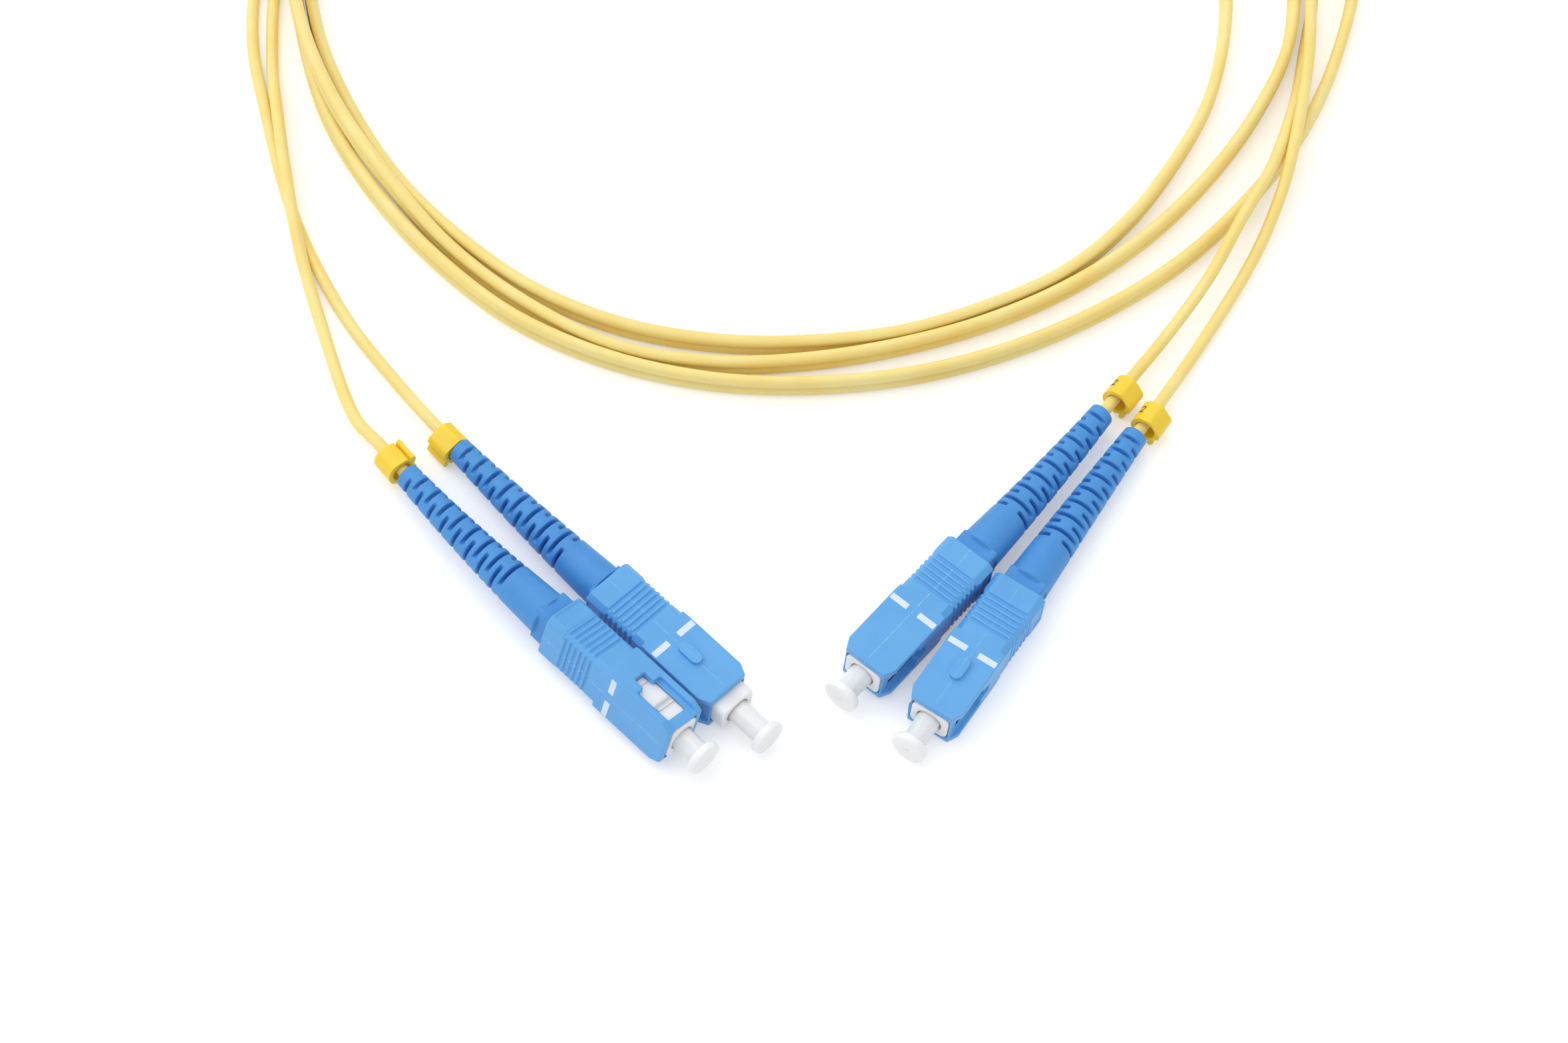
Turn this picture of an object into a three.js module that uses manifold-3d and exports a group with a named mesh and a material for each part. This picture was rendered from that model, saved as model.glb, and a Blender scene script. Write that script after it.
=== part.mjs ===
// Duplex fibre optic patch cord: two 2 mm jacketed fibres joined by a thin web, coiled on a table,
// split into two legs at each end, with a push-pull square connector, a boot and a marker clip on each leg.
// Millimetres, +Z up. The origin is on the table, under the middle of the four connectors.
import * as THREE from 'three';
import { mergeVertices } from 'three/addons/utils/BufferGeometryUtils.js';
import Module from 'manifold-3d';

const wasm = await Module();
wasm.setup();

// ---- driving dimensions: cord ----
const STRAND = 2.0; // jacket diameter of one fibre
const WEB = 0.1; // thin web between the two jackets
const DUPLEX_HEIGHT = 2 * STRAND + WEB; // the pair stands on edge
const CORD_SIDES = 8;
const TABLE_GAP = 0.06; // a cord's underside keeps this above the table
const END_GAP = 0.3; // between a leg's end and the pair's end
const SLIDE_GAP = 0.2; // between two pieces that slide on each other
const SEAT_GAP = 0.3; // between two pieces that are fixed to each other

// ---- driving dimensions: grip, the sliding outer housing ----
const GRIP_LENGTH = 26.2;
const GRIP_WIDTH = 9.0; // across the two narrow faces
const GRIP_HEIGHT = 7.4; // across the two wide faces
const REAR_WIDTH = 8.8; // the ribbed section is slightly narrower
const END_WIDTH = 9.0; // the block behind the ribs
const END_LENGTH = 3.5;
const REAR_CHAMFER = 0.95; // on the four long edges of the ribbed section
const RAMP_START = 13.0; // behind the front edge, where the ribbed section begins
const RAMP_LENGTH = 1.2;
const PLATE = 1.1; // thickness of the top and bottom plates at the front
const FRONT_CHAMFER_LENGTH = 1.84;
const CORE_WALL = 0.25; // side wall beside the frame, between the plates
const TRACK_LENGTH = 8.1; // open side track between the plates
const WINDOW_FRONT = 1.9; // latch window, measured from the front edge
const WINDOW_WIDTH = 3.7;
const LOBE_LENGTH = 2.0; // narrow rear lobe of the T-shaped window
const LOBE_WIDTH = 2.2;
const GROOVES = 6;
const GROOVE_FIRST = 16.65; // centre of the groove nearest the front
const GROOVE_PITCH = 1.05;
const GROOVE_WIDTH = 0.5;
const GROOVE_DEPTH = 0.3;
const KEY_FRONT = 5.9;
const KEY_LENGTH = 4.4;
const KEY_WIDTH = 2.0;
const KEY_HEIGHT = 0.7;
const PANEL_REAR_MARGIN = 0.4; // sunk label panel on each narrow face
const PANEL_LENGTH = 2.2;
const PANEL_WIDTH = 5.0;
const PANEL_DEPTH = 0.2;
const GRIP_TRAVEL = 2.0; // how far the grip slides back on the plug frame

// ---- driving dimensions: plug frame and what it holds ----
const FRAME_WIDTH = 6.3;
const FRAME_HEIGHT = 4.8;
const FRAME_CORNER = 0.9;
const FRAME_PROUD = 0.3; // the frame's nose stands this far out of the grip
const FRAME_REAR_INSET = 7.7; // its rear end, ahead of the grip's rear end
const SHOULDER_LENGTH = 1.9; // wider collar at the frame's rear end
const SHOULDER_RISE = 0.25;
const BORE = 4.3;
const WEB_FRONT = 6.2; // inner wall that holds the ferrule's collar back
const WEB_WALL = 0.9;
const LUG_HEIGHT = 0.35;
const LUG_RAMP = 1.2;
const FERRULE = 2.5;
const FERRULE_PROUD = 1.6; // the ferrule stands this far out of the frame
const FERRULE_LENGTH = 10.5;
const FERRULE_CHAMFER = 0.3;
const COLLAR_DIAMETER = 3.9;
const COLLAR_LENGTH = 2.1;
const TAIL_DIAMETER = 2.2; // spring guide behind the collar
const TAIL_LENGTH = 4.6;
const FIBRE_BORE = 1.5;
const BUFFER = 0.9; // the buffered fibre inside the jacket
const BUFFER_FRONT = 10.0;
const SPRING_DIAMETER = 3.2; // at the middle of the wire
const SPRING_WIRE = 0.44;
const SPRING_TURNS = 5;
const SPRING_ROOM = 5.0; // between the collar and the rear body
const REAR_BARREL = 3.8;
const REAR_SHOULDER = 5.8;
const REAR_SHOULDER_LENGTH = 1.6;
const CRIMP_TAIL = 3.1; // knurled tail that the yarn is crimped on
const CRIMP_TAIL_LENGTH = 7.1;
const CRIMP_WALL = 0.4;
const CRIMP_NECK_LENGTH = 5.3; // the ring's narrow end, closed on the jacket

// ---- driving dimensions: boot, cap and clip ----
const BOOT_END = 62.2; // the boot's small end, behind the grip's front edge
const BOOT_LARGE = 7.2;
const BOOT_SMALL = 4.0;
const BOOT_BORE = 2.6;
const BOOT_COLLAR_WIDTH = 6.6;
const BOOT_COLLAR_HEIGHT = 5.7;
const BOOT_COLLAR_PROUD = 2.2; // behind the grip
const BOOT_COLLAR_INSIDE = 5.1; // inside the grip
const SLOTS = 8; // in each of the four rows
const SLOT_PITCH = 3.1;
const SLOT_WIDTH = 0.7;
const SLOT_FLOOR_GAP = 0.1; // from the jacket to the floor of each slot, which opens the boot's bore
const SLOT_FIRST = 2.2; // the first slot of the top and bottom rows, ahead of the small end
const CAP_TUBE = 3.8;
const CAP_LENGTH = 7.6;
const CAP_FLANGE = 5.8;
const CAP_FLANGE_THICKNESS = 1.1;
const CAP_BORE_GAP = 0.1; // a close push fit on the ferrule
const CLIP_LENGTH = 4.8;
const CLIP_OUTER = 5.4;
const CLIP_INNER = 3.0;
const CLIP_SLIT = 0.5;
const CLIP_LATCH = 0.7;
const CLIP_TRAVEL = 2.0; // the leg runs straight this far past the clip

// ---- materials ----
const plastic = (color, roughness) => new THREE.MeshStandardMaterial({ color, roughness, metalness: 0 });
const metal = (color, roughness) => new THREE.MeshStandardMaterial({ color, roughness, metalness: 1 });
const MATERIALS = {
  grip: plastic(0x5fa9e6, 0.45),
  frame: plastic(0xf1f3f6, 0.4),
  ferrule: plastic(0xf4f4f0, 0.15),
  flange: metal(0xb9b6ae, 0.3),
  spring: metal(0xc4c4c2, 0.25),
  rearBody: metal(0xb3b0a6, 0.35),
  crimp: metal(0xbfa77a, 0.35),
  boot: plastic(0x3f92dc, 0.5),
  cap: plastic(0xe6e9ee, 0.35),
  clip: plastic(0xf6d53a, 0.45),
  jacket: plastic(0xf3df8c, 0.5),
};

// ---- shapes: geometry in, solid out ----
const solidOf = (geometry) => {
  const bare = geometry.index ? geometry.toNonIndexed() : geometry.clone();
  bare.deleteAttribute('normal');
  bare.deleteAttribute('uv');
  const merged = mergeVertices(bare, 1e-4);
  return new wasm.Manifold(new wasm.Mesh({
    numProp: 3,
    vertProperties: new Float32Array(merged.attributes.position.array),
    triVerts: new Uint32Array(merged.index.array),
  }));
};

const geometryOf = (solid) => {
  const mesh = solid.getMesh();
  const geometry = new THREE.BufferGeometry();
  geometry.setAttribute('position', new THREE.BufferAttribute(new Float32Array(mesh.vertProperties), 3));
  geometry.setIndex(new THREE.BufferAttribute(new Uint32Array(mesh.triVerts), 1));
  return geometry;
};

// a box between two opposite corners
const block = (low, high) => {
  const geometry = new THREE.BoxGeometry(high[0] - low[0], high[1] - low[1], high[2] - low[2]);
  geometry.translate((low[0] + high[0]) / 2, (low[1] + high[1]) / 2, (low[2] + high[2]) / 2);
  return solidOf(geometry);
};

// a block centred on the connector's axis, from rear to front
const centred = (rear, front, width, height) =>
  block([rear, -width / 2, -height / 2], [front, width / 2, height / 2]);

// a shape drawn in (y, z), run along +X from rear to front
const ALONG_X = new THREE.Matrix4().makeBasis(
  new THREE.Vector3(0, 1, 0), new THREE.Vector3(0, 0, 1), new THREE.Vector3(1, 0, 0));
const prism = (shape, rear, front, curveSegments = 3) => {
  const options = { depth: front - rear, bevelEnabled: false, curveSegments };
  const geometry = new THREE.ExtrudeGeometry(shape, options).applyMatrix4(ALONG_X);
  return solidOf(geometry.translate(rear, 0, 0));
};

// a shape drawn in (x, y), run upwards from low to high
const slab = (shape, low, high, curveSegments = 6) => {
  const options = { depth: high - low, bevelEnabled: false, curveSegments };
  return solidOf(new THREE.ExtrudeGeometry(shape, options).translate(0, 0, low));
};

// a profile of [radius, x] points turned about the connector's axis
const turned = (profile, segments = 12) => {
  const points = profile.map(([radius, x]) => new THREE.Vector2(radius, x));
  const geometry = new THREE.LatheGeometry(points, segments);
  return solidOf(geometry.rotateZ(-Math.PI / 2));
};

// A curve stepped point by point, so that neighbouring turns bend at the same angles. Its frames
// stay upright, so that the pair keeps standing on edge.
class SteppedCurve extends THREE.CatmullRomCurve3 {
  getUtoTmapping(u) {
    return u;
  }

  getPoint(t, target) {
    const point = super.getPoint(t, target);
    const lowest = Math.min(...this.points.map((station) => station.z));
    return point.setZ(Math.max(point.z, lowest));
  }

  computeFrenetFrames(segments) {
    const frames = { tangents: [], normals: [], binormals: [] };
    for (let i = 0; i <= segments; i += 1) {
      const tangent = this.getTangentAt(i / segments);
      const left = new THREE.Vector3(0, 0, 1).cross(tangent).normalize();
      frames.tangents.push(tangent);
      frames.normals.push(left);
      frames.binormals.push(tangent.clone().cross(left));
    }
    return frames;
  }
}

const sweep = (shape, points) => {
  const extrudePath = new SteppedCurve(points);
  const steps = points.length - 1;
  return geometryOf(solidOf(new THREE.ExtrudeGeometry(shape, { steps, extrudePath, bevelEnabled: false })));
};

const polygon = (points) => new THREE.Shape(points.map(([x, y]) => new THREE.Vector2(x, y)));

const roundedRectangle = (width, height, radius) => {
  const x = width / 2;
  const y = height / 2;
  const shape = new THREE.Shape();
  shape.moveTo(-x + radius, -y);
  shape.lineTo(x - radius, -y);
  shape.absarc(x - radius, -y + radius, radius, -Math.PI / 2, 0);
  shape.lineTo(x, y - radius);
  shape.absarc(x - radius, y - radius, radius, 0, Math.PI / 2);
  shape.lineTo(-x + radius, y);
  shape.absarc(-x + radius, y - radius, radius, Math.PI / 2, Math.PI);
  shape.lineTo(-x, -y + radius);
  shape.absarc(-x + radius, -y + radius, radius, Math.PI, 1.5 * Math.PI);
  return shape;
};

const chamferedRectangle = (width, height, chamfer) => {
  const x = width / 2;
  const y = height / 2;
  return polygon([
    [-x + chamfer, -y], [x - chamfer, -y], [x, -y + chamfer], [x, y - chamfer],
    [x - chamfer, y], [-x + chamfer, y], [-x, y - chamfer], [-x, -y + chamfer],
  ]);
};

// ---- places along the connector's axis: x = 0 at the grip's front edge, +x out of the plug ----
const FRAME_REAR = GRIP_LENGTH - FRAME_REAR_INSET;
const CAVITY_WIDTH = FRAME_WIDTH + 2 * SLIDE_GAP;
const CAVITY_HEIGHT = FRAME_HEIGHT + 2 * SLIDE_GAP;
const CORE_WIDTH = CAVITY_WIDTH + 2 * CORE_WALL;
const REAR_CAVITY_WIDTH = BOOT_COLLAR_WIDTH + 2 * SLIDE_GAP;
const REAR_CAVITY_HEIGHT = BOOT_COLLAR_HEIGHT + 2 * SLIDE_GAP;
const FRAME_SHOULDER_X = -FRAME_REAR + SHOULDER_LENGTH;
const REAR_CAVITY_X = FRAME_SHOULDER_X + GRIP_TRAVEL + SLIDE_GAP;
const WEB_REAR_X = -WEB_FRONT - WEB_WALL;
const FERRULE_TIP_X = FRAME_PROUD + FERRULE_PROUD;
const COLLAR_X = WEB_REAR_X - SLIDE_GAP;
const COLLAR_REAR_X = COLLAR_X - COLLAR_LENGTH;
const REAR_BODY_X = COLLAR_REAR_X - SPRING_ROOM;
const REAR_SHOULDER_X = -FRAME_REAR - SEAT_GAP;
const CRIMP_TAIL_X = REAR_SHOULDER_X - REAR_SHOULDER_LENGTH;
const CRIMP_TAIL_END_X = CRIMP_TAIL_X - CRIMP_TAIL_LENGTH;
const CRIMP_X = CRIMP_TAIL_X - SEAT_GAP;
const CRIMP_STEP_X = CRIMP_TAIL_END_X - 2 * SEAT_GAP;
const CRIMP_END_X = CRIMP_STEP_X - CRIMP_NECK_LENGTH;
const BOOT_STEP_X = -GRIP_LENGTH - BOOT_COLLAR_PROUD;
const BOOT_FRONT_X = -GRIP_LENGTH + BOOT_COLLAR_INSIDE;
const BOOT_NECK_X = CRIMP_END_X - SEAT_GAP;
const CRIMP_INNER = CRIMP_TAIL / 2 + SEAT_GAP;
const CRIMP_OUTER = CRIMP_INNER + CRIMP_WALL;
const NECK_INNER = STRAND / 2 + SLIDE_GAP;
const NECK_OUTER = NECK_INNER + CRIMP_WALL;
const LEG_START_X = CRIMP_TAIL_END_X - SEAT_GAP;

// The outer housing: two plates with bevelled front corners, an open track on each narrow side with
// the T-shaped latch window, a ribbed and chamfered rear section, and the key on one wide face.
function gripGeometry() {
  const half = GRIP_WIDTH / 2;
  const plan = polygon([
    [-RAMP_START - RAMP_LENGTH, -REAR_WIDTH / 2], [-RAMP_START, -half], [-FRONT_CHAMFER_LENGTH, -half],
    [0, -CORE_WIDTH / 2], [0, CORE_WIDTH / 2], [-FRONT_CHAMFER_LENGTH, half], [-RAMP_START, half],
    [-RAMP_START - RAMP_LENGTH, REAR_WIDTH / 2],
  ]);
  const rear = chamferedRectangle(REAR_WIDTH, GRIP_HEIGHT, REAR_CHAMFER);
  let grip = slab(plan, -GRIP_HEIGHT / 2, GRIP_HEIGHT / 2);
  grip = grip.add(prism(rear, -GRIP_LENGTH, -RAMP_START - RAMP_LENGTH / 2));
  const end = chamferedRectangle(END_WIDTH, GRIP_HEIGHT, REAR_CHAMFER);
  grip = grip.add(prism(end, -GRIP_LENGTH, -GRIP_LENGTH + END_LENGTH));

  const key = new THREE.Shape();
  const keyRadius = KEY_WIDTH / 2;
  key.absarc(-KEY_FRONT - keyRadius, 0, keyRadius, -Math.PI / 2, Math.PI / 2);
  key.absarc(-KEY_FRONT - KEY_LENGTH + keyRadius, 0, keyRadius, Math.PI / 2, 1.5 * Math.PI);
  grip = grip.add(slab(key, GRIP_HEIGHT / 2 - PLATE / 2, GRIP_HEIGHT / 2 + KEY_HEIGHT));

  const cuts = [
    centred(-GRIP_LENGTH - 1, 1, CAVITY_WIDTH, CAVITY_HEIGHT),
    centred(-GRIP_LENGTH - 1, REAR_CAVITY_X, REAR_CAVITY_WIDTH, REAR_CAVITY_HEIGHT),
  ];
  const panelRear = -GRIP_LENGTH + PANEL_REAR_MARGIN;
  for (const side of [-1, 1]) {
    const from = (inner, outer) => [Math.min(side * inner, side * outer), Math.max(side * inner, side * outer)];
    const cutFrom = (rearX, frontX, inner, outer, height) => {
      const [low, high] = from(inner, outer);
      cuts.push(block([rearX, low, -height / 2], [frontX, high, height / 2]));
    };
    cutFrom(-TRACK_LENGTH, 1, CORE_WIDTH / 2, half + 1, GRIP_HEIGHT - 2 * PLATE);
    cutFrom(-TRACK_LENGTH - LOBE_LENGTH, -TRACK_LENGTH + 0.5, 0, half + 1, LOBE_WIDTH);
    cutFrom(-TRACK_LENGTH, -WINDOW_FRONT, 0, half + 1, WINDOW_WIDTH);
    cutFrom(panelRear, panelRear + PANEL_LENGTH, END_WIDTH / 2 - PANEL_DEPTH, half + 1, PANEL_WIDTH);
    for (let i = 0; i < GROOVES; i += 1) {
      const centre = -GROOVE_FIRST - i * GROOVE_PITCH;
      const sideHeight = GRIP_HEIGHT - 2 * REAR_CHAMFER + 2 * GROOVE_DEPTH;
      const topWidth = REAR_WIDTH - 2 * REAR_CHAMFER + 2 * GROOVE_DEPTH;
      const rearX = centre - GROOVE_WIDTH / 2;
      const frontX = centre + GROOVE_WIDTH / 2;
      cutFrom(rearX, frontX, REAR_WIDTH / 2 - GROOVE_DEPTH, half + 1, sideHeight);
      const [low, high] = from(GRIP_HEIGHT / 2 - GROOVE_DEPTH, GRIP_HEIGHT / 2 + 1);
      cuts.push(block([rearX, -topWidth / 2, low], [frontX, topWidth / 2, high]));
    }
  }
  return geometryOf(cuts.reduce((solid, cut) => solid.subtract(cut), grip));
}

// The inner plug frame, with a round bore, a wall that stops the ferrule's collar, a latch lug and a
// stop boss in each window, and a wider collar at the rear.
function plugFrameGeometry() {
  const halfWidth = FRAME_WIDTH / 2;
  const outline = roundedRectangle(FRAME_WIDTH, FRAME_HEIGHT, FRAME_CORNER);
  let frame = prism(outline, -FRAME_REAR, FRAME_PROUD);
  const shoulder = roundedRectangle(
    FRAME_WIDTH + 2 * SHOULDER_RISE, FRAME_HEIGHT + 2 * SHOULDER_RISE, FRAME_CORNER);
  frame = frame.add(prism(shoulder, -FRAME_REAR, FRAME_SHOULDER_X));

  const lugFront = -WINDOW_FRONT - GRIP_TRAVEL - SLIDE_GAP / 2;
  const bossRear = -TRACK_LENGTH - LOBE_LENGTH + SLIDE_GAP / 2;
  for (const side of [-1, 1]) {
    const lug = polygon([
      [lugFront - LUG_RAMP, side * (halfWidth - 0.1)], [lugFront, side * (halfWidth - 0.1)],
      [lugFront, side * (halfWidth + LUG_HEIGHT)], [lugFront - LUG_RAMP / 3, side * (halfWidth + LUG_HEIGHT)],
    ]);
    const lugHalf = WINDOW_WIDTH / 2 - SLIDE_GAP;
    frame = frame.add(slab(lug, -lugHalf, lugHalf));
    const bossHalf = LOBE_WIDTH / 2 - SLIDE_GAP;
    const bossSide = [side * (halfWidth - 0.1), side * (halfWidth + LUG_HEIGHT)].sort((a, b) => a - b);
    frame = frame.add(block([bossRear, bossSide[0], -bossHalf], [bossRear + 1.0, bossSide[1], bossHalf]));
  }
  const bore = (radius, rear, front) => turned([[0, rear], [radius, rear], [radius, front], [0, front]], 16);
  frame = frame.subtract(bore(BORE / 2, -WEB_FRONT, FRAME_PROUD + 1));
  frame = frame.subtract(bore(FERRULE / 2 + SEAT_GAP, WEB_REAR_X - 1, -WEB_FRONT + 1));
  frame = frame.subtract(bore(BORE / 2, -FRAME_REAR - 1, WEB_REAR_X));
  return geometryOf(frame);
}

// The zirconia ferrule, with a bevelled tip.
function ferruleGeometry() {
  const radius = FERRULE / 2;
  const rear = FERRULE_TIP_X - FERRULE_LENGTH;
  return geometryOf(turned([
    [0, rear], [radius, rear], [radius, FERRULE_TIP_X - FERRULE_CHAMFER],
    [radius - FERRULE_CHAMFER, FERRULE_TIP_X], [0, FERRULE_TIP_X],
  ]));
}

// The metal flange that holds the ferrule: a collar, and a hollow tail that guides the spring.
function ferruleFlangeGeometry() {
  const seat = FERRULE / 2 + SLIDE_GAP / 2;
  const seatRear = FERRULE_TIP_X - FERRULE_LENGTH - SLIDE_GAP;
  const tailEnd = COLLAR_REAR_X - TAIL_LENGTH;
  return geometryOf(turned([
    [FIBRE_BORE / 2, tailEnd], [TAIL_DIAMETER / 2, tailEnd], [TAIL_DIAMETER / 2, COLLAR_REAR_X],
    [COLLAR_DIAMETER / 2, COLLAR_REAR_X], [COLLAR_DIAMETER / 2, COLLAR_X], [seat, COLLAR_X],
    [seat, seatRear], [FIBRE_BORE / 2, seatRear], [FIBRE_BORE / 2, tailEnd],
  ]));
}

class Helix extends THREE.Curve {
  getPoint(t, target = new THREE.Vector3()) {
    const angle = 2 * Math.PI * SPRING_TURNS * t;
    const room = SPRING_ROOM - SPRING_WIRE - 2 * SEAT_GAP;
    const x = COLLAR_REAR_X - SEAT_GAP - SPRING_WIRE / 2 - room * t;
    const radius = SPRING_DIAMETER / 2;
    return target.set(x, radius * Math.cos(angle), radius * Math.sin(angle));
  }
}

const ring = (radius, sides) => {
  const points = [];
  for (let i = 0; i < sides; i += 1) {
    const angle = (2 * Math.PI * (i + 0.5)) / sides;
    points.push([radius * Math.cos(angle), radius * Math.sin(angle)]);
  }
  return polygon(points);
};

// The coil spring that presses the ferrule forward.
function springGeometry() {
  const options = { steps: Math.round(SPRING_TURNS * 8), extrudePath: new Helix(), bevelEnabled: false };
  return geometryOf(solidOf(new THREE.ExtrudeGeometry(ring(SPRING_WIRE / 2, 6), options)));
}

// The rear body: a barrel inside the frame, a shoulder behind it and the tail for the crimp.
function rearBodyGeometry() {
  const barrel = REAR_BARREL / 2;
  const guide = TAIL_DIAMETER / 2 + SEAT_GAP;
  return geometryOf(turned([
    [BUFFER, CRIMP_TAIL_END_X], [CRIMP_TAIL / 2, CRIMP_TAIL_END_X], [CRIMP_TAIL / 2, CRIMP_TAIL_X],
    [REAR_SHOULDER / 2, CRIMP_TAIL_X], [REAR_SHOULDER / 2, REAR_SHOULDER_X], [barrel, REAR_SHOULDER_X],
    [barrel, REAR_BODY_X], [guide, REAR_BODY_X], [guide, REAR_SHOULDER_X], [BUFFER, CRIMP_TAIL_X],
    [BUFFER, CRIMP_TAIL_END_X],
  ], 16));
}

// The crimp ring: wide over the tail, and closed down on the jacket.
function crimpRingGeometry() {
  return geometryOf(turned([
    [NECK_INNER, CRIMP_END_X], [NECK_OUTER, CRIMP_END_X], [NECK_OUTER, CRIMP_STEP_X - CRIMP_WALL],
    [CRIMP_OUTER, CRIMP_STEP_X], [CRIMP_OUTER, CRIMP_X], [CRIMP_INNER, CRIMP_X],
    [CRIMP_INNER, CRIMP_STEP_X], [NECK_INNER, CRIMP_STEP_X - CRIMP_WALL], [NECK_INNER, CRIMP_END_X],
  ], 16));
}

// The buffered fibre, from behind the ferrule to the end of the jacket.
function fibreBufferGeometry() {
  const radius = BUFFER / 2;
  const rear = LEG_START_X + SEAT_GAP;
  return geometryOf(turned([[0, rear], [radius, rear], [radius, -BUFFER_FRONT], [0, -BUFFER_FRONT]], 8));
}

// How far the flexible rear of the boot has drooped or bent sideways at x, as a share of its end's bend.
const bendShare = (x) => Math.max(0, (BOOT_NECK_X - x) / (BOOT_END + BOOT_NECK_X)) ** 2;

// places along the boot's flexible part, and the middle of the cable at each
const BOOT_AXIS = [BOOT_NECK_X, -38, -44, -50, -56, -BOOT_END];
const onBootAxis = (x, bend) => new THREE.Vector3(x, bend.y * bendShare(x), bend.z * bendShare(x));

const bootRadius = (x) =>
  BOOT_SMALL / 2 + ((BOOT_LARGE - BOOT_SMALL) / 2) * ((x + BOOT_END) / (BOOT_END + BOOT_STEP_X));

// The tapered rubber boot: a square collar in the grip's mouth, and four staggered rows of slots.
function bootGeometry(bend) {
  const boreWide = CRIMP_OUTER + SEAT_GAP;
  const boreNeck = NECK_OUTER + SEAT_GAP;
  let boot = turned([
    [0, -BOOT_END], [BOOT_SMALL / 2 - 0.2, -BOOT_END], [BOOT_SMALL / 2, -BOOT_END + 0.2],
    [bootRadius(BOOT_STEP_X), BOOT_STEP_X], [0, BOOT_STEP_X],
  ], 16);
  boot = boot.add(centred(BOOT_STEP_X - 0.5, BOOT_FRONT_X, BOOT_COLLAR_WIDTH, BOOT_COLLAR_HEIGHT));
  boot = boot.subtract(turned([
    [0, BOOT_NECK_X], [boreNeck, BOOT_NECK_X], [boreNeck, CRIMP_STEP_X - SEAT_GAP],
    [boreWide, CRIMP_STEP_X], [boreWide, BOOT_FRONT_X + 1], [0, BOOT_FRONT_X + 1],
  ], 16));
  const slotHalf = SLOT_WIDTH / 2;
  for (let i = 0; i < SLOTS; i += 1) {
    for (const side of [-1, 1]) {
      const cut = (x, place) => {
        const floor = STRAND / 2 + SLOT_FLOOR_GAP;
        const depth = [side * floor, side * BOOT_LARGE].sort((a, b) => a - b);
        boot = boot.subtract(place(x, depth));
      };
      const first = -BOOT_END + SLOT_FIRST + i * SLOT_PITCH;
      cut(first, (x, depth) =>
        block([x - slotHalf, -BOOT_LARGE, depth[0]], [x + slotHalf, BOOT_LARGE, depth[1]]));
      cut(first + SLOT_PITCH / 2, (x, depth) =>
        block([x - slotHalf, depth[0], -BOOT_LARGE], [x + slotHalf, depth[1], BOOT_LARGE]));
    }
  }
  const geometry = geometryOf(boot);
  const position = geometry.attributes.position;
  for (let i = 0; i < position.count; i += 1) {
    const share = bendShare(position.getX(i));
    position.setY(i, position.getY(i) + bend.y * share);
    position.setZ(i, position.getZ(i) + bend.z * share);
  }
  const axis = [BOOT_NECK_X + 0.5, ...BOOT_AXIS.slice(1), -BOOT_END - 1];
  return geometryOf(solidOf(geometry).subtract(solidOf(
    sweep(ring(BOOT_BORE / 2, CORD_SIDES), axis.map((x) => onBootAxis(x, bend))))));
}

// The dust cap: a blind tube over the ferrule, with a disc to pull it by.
function dustCapGeometry(flangeX) {
  const front = flangeX + CAP_FLANGE_THICKNESS / 2;
  const back = flangeX - CAP_FLANGE_THICKNESS / 2;
  const rear = front - CAP_LENGTH;
  const bore = FERRULE / 2 + CAP_BORE_GAP;
  const edge = 0.25;
  return geometryOf(turned([
    [0, back], [bore, back], [bore, rear], [CAP_TUBE / 2, rear], [CAP_TUBE / 2, back],
    [CAP_FLANGE / 2 - edge, back], [CAP_FLANGE / 2, back + edge], [CAP_FLANGE / 2, front - edge],
    [CAP_FLANGE / 2 - edge, front], [0, front],
  ], 16));
}

// The marker clip: an open ten-sided ring snapped round the jacket, with a latch lip at its slit.
function clipGeometry(latchAngle) {
  const outer = ring(CLIP_OUTER / 2, 10);
  outer.holes.push(ring(CLIP_INNER / 2, 10));
  let clip = prism(outer, -CLIP_LENGTH / 2, CLIP_LENGTH / 2);
  const reach = CLIP_OUTER / 2 + CLIP_LATCH;
  const lip = polygon([
    [CLIP_INNER / 2 + 0.5, CLIP_SLIT / 2], [reach - 0.3, CLIP_SLIT / 2], [reach, CLIP_SLIT / 2 + 0.4],
    [CLIP_OUTER / 2, CLIP_SLIT / 2 + 1.9], [CLIP_INNER / 2 + 0.5, CLIP_SLIT / 2 + 1.2],
  ]);
  clip = clip.add(prism(lip, -CLIP_LENGTH / 2, CLIP_LENGTH / 2));
  const length = CLIP_LENGTH + 1;
  clip = clip.subtract(block([-length, 0, -CLIP_SLIT / 2], [length, CLIP_OUTER, CLIP_SLIT / 2]));
  return geometryOf(clip).rotateX(THREE.MathUtils.degToRad(latchAngle));
}

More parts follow.
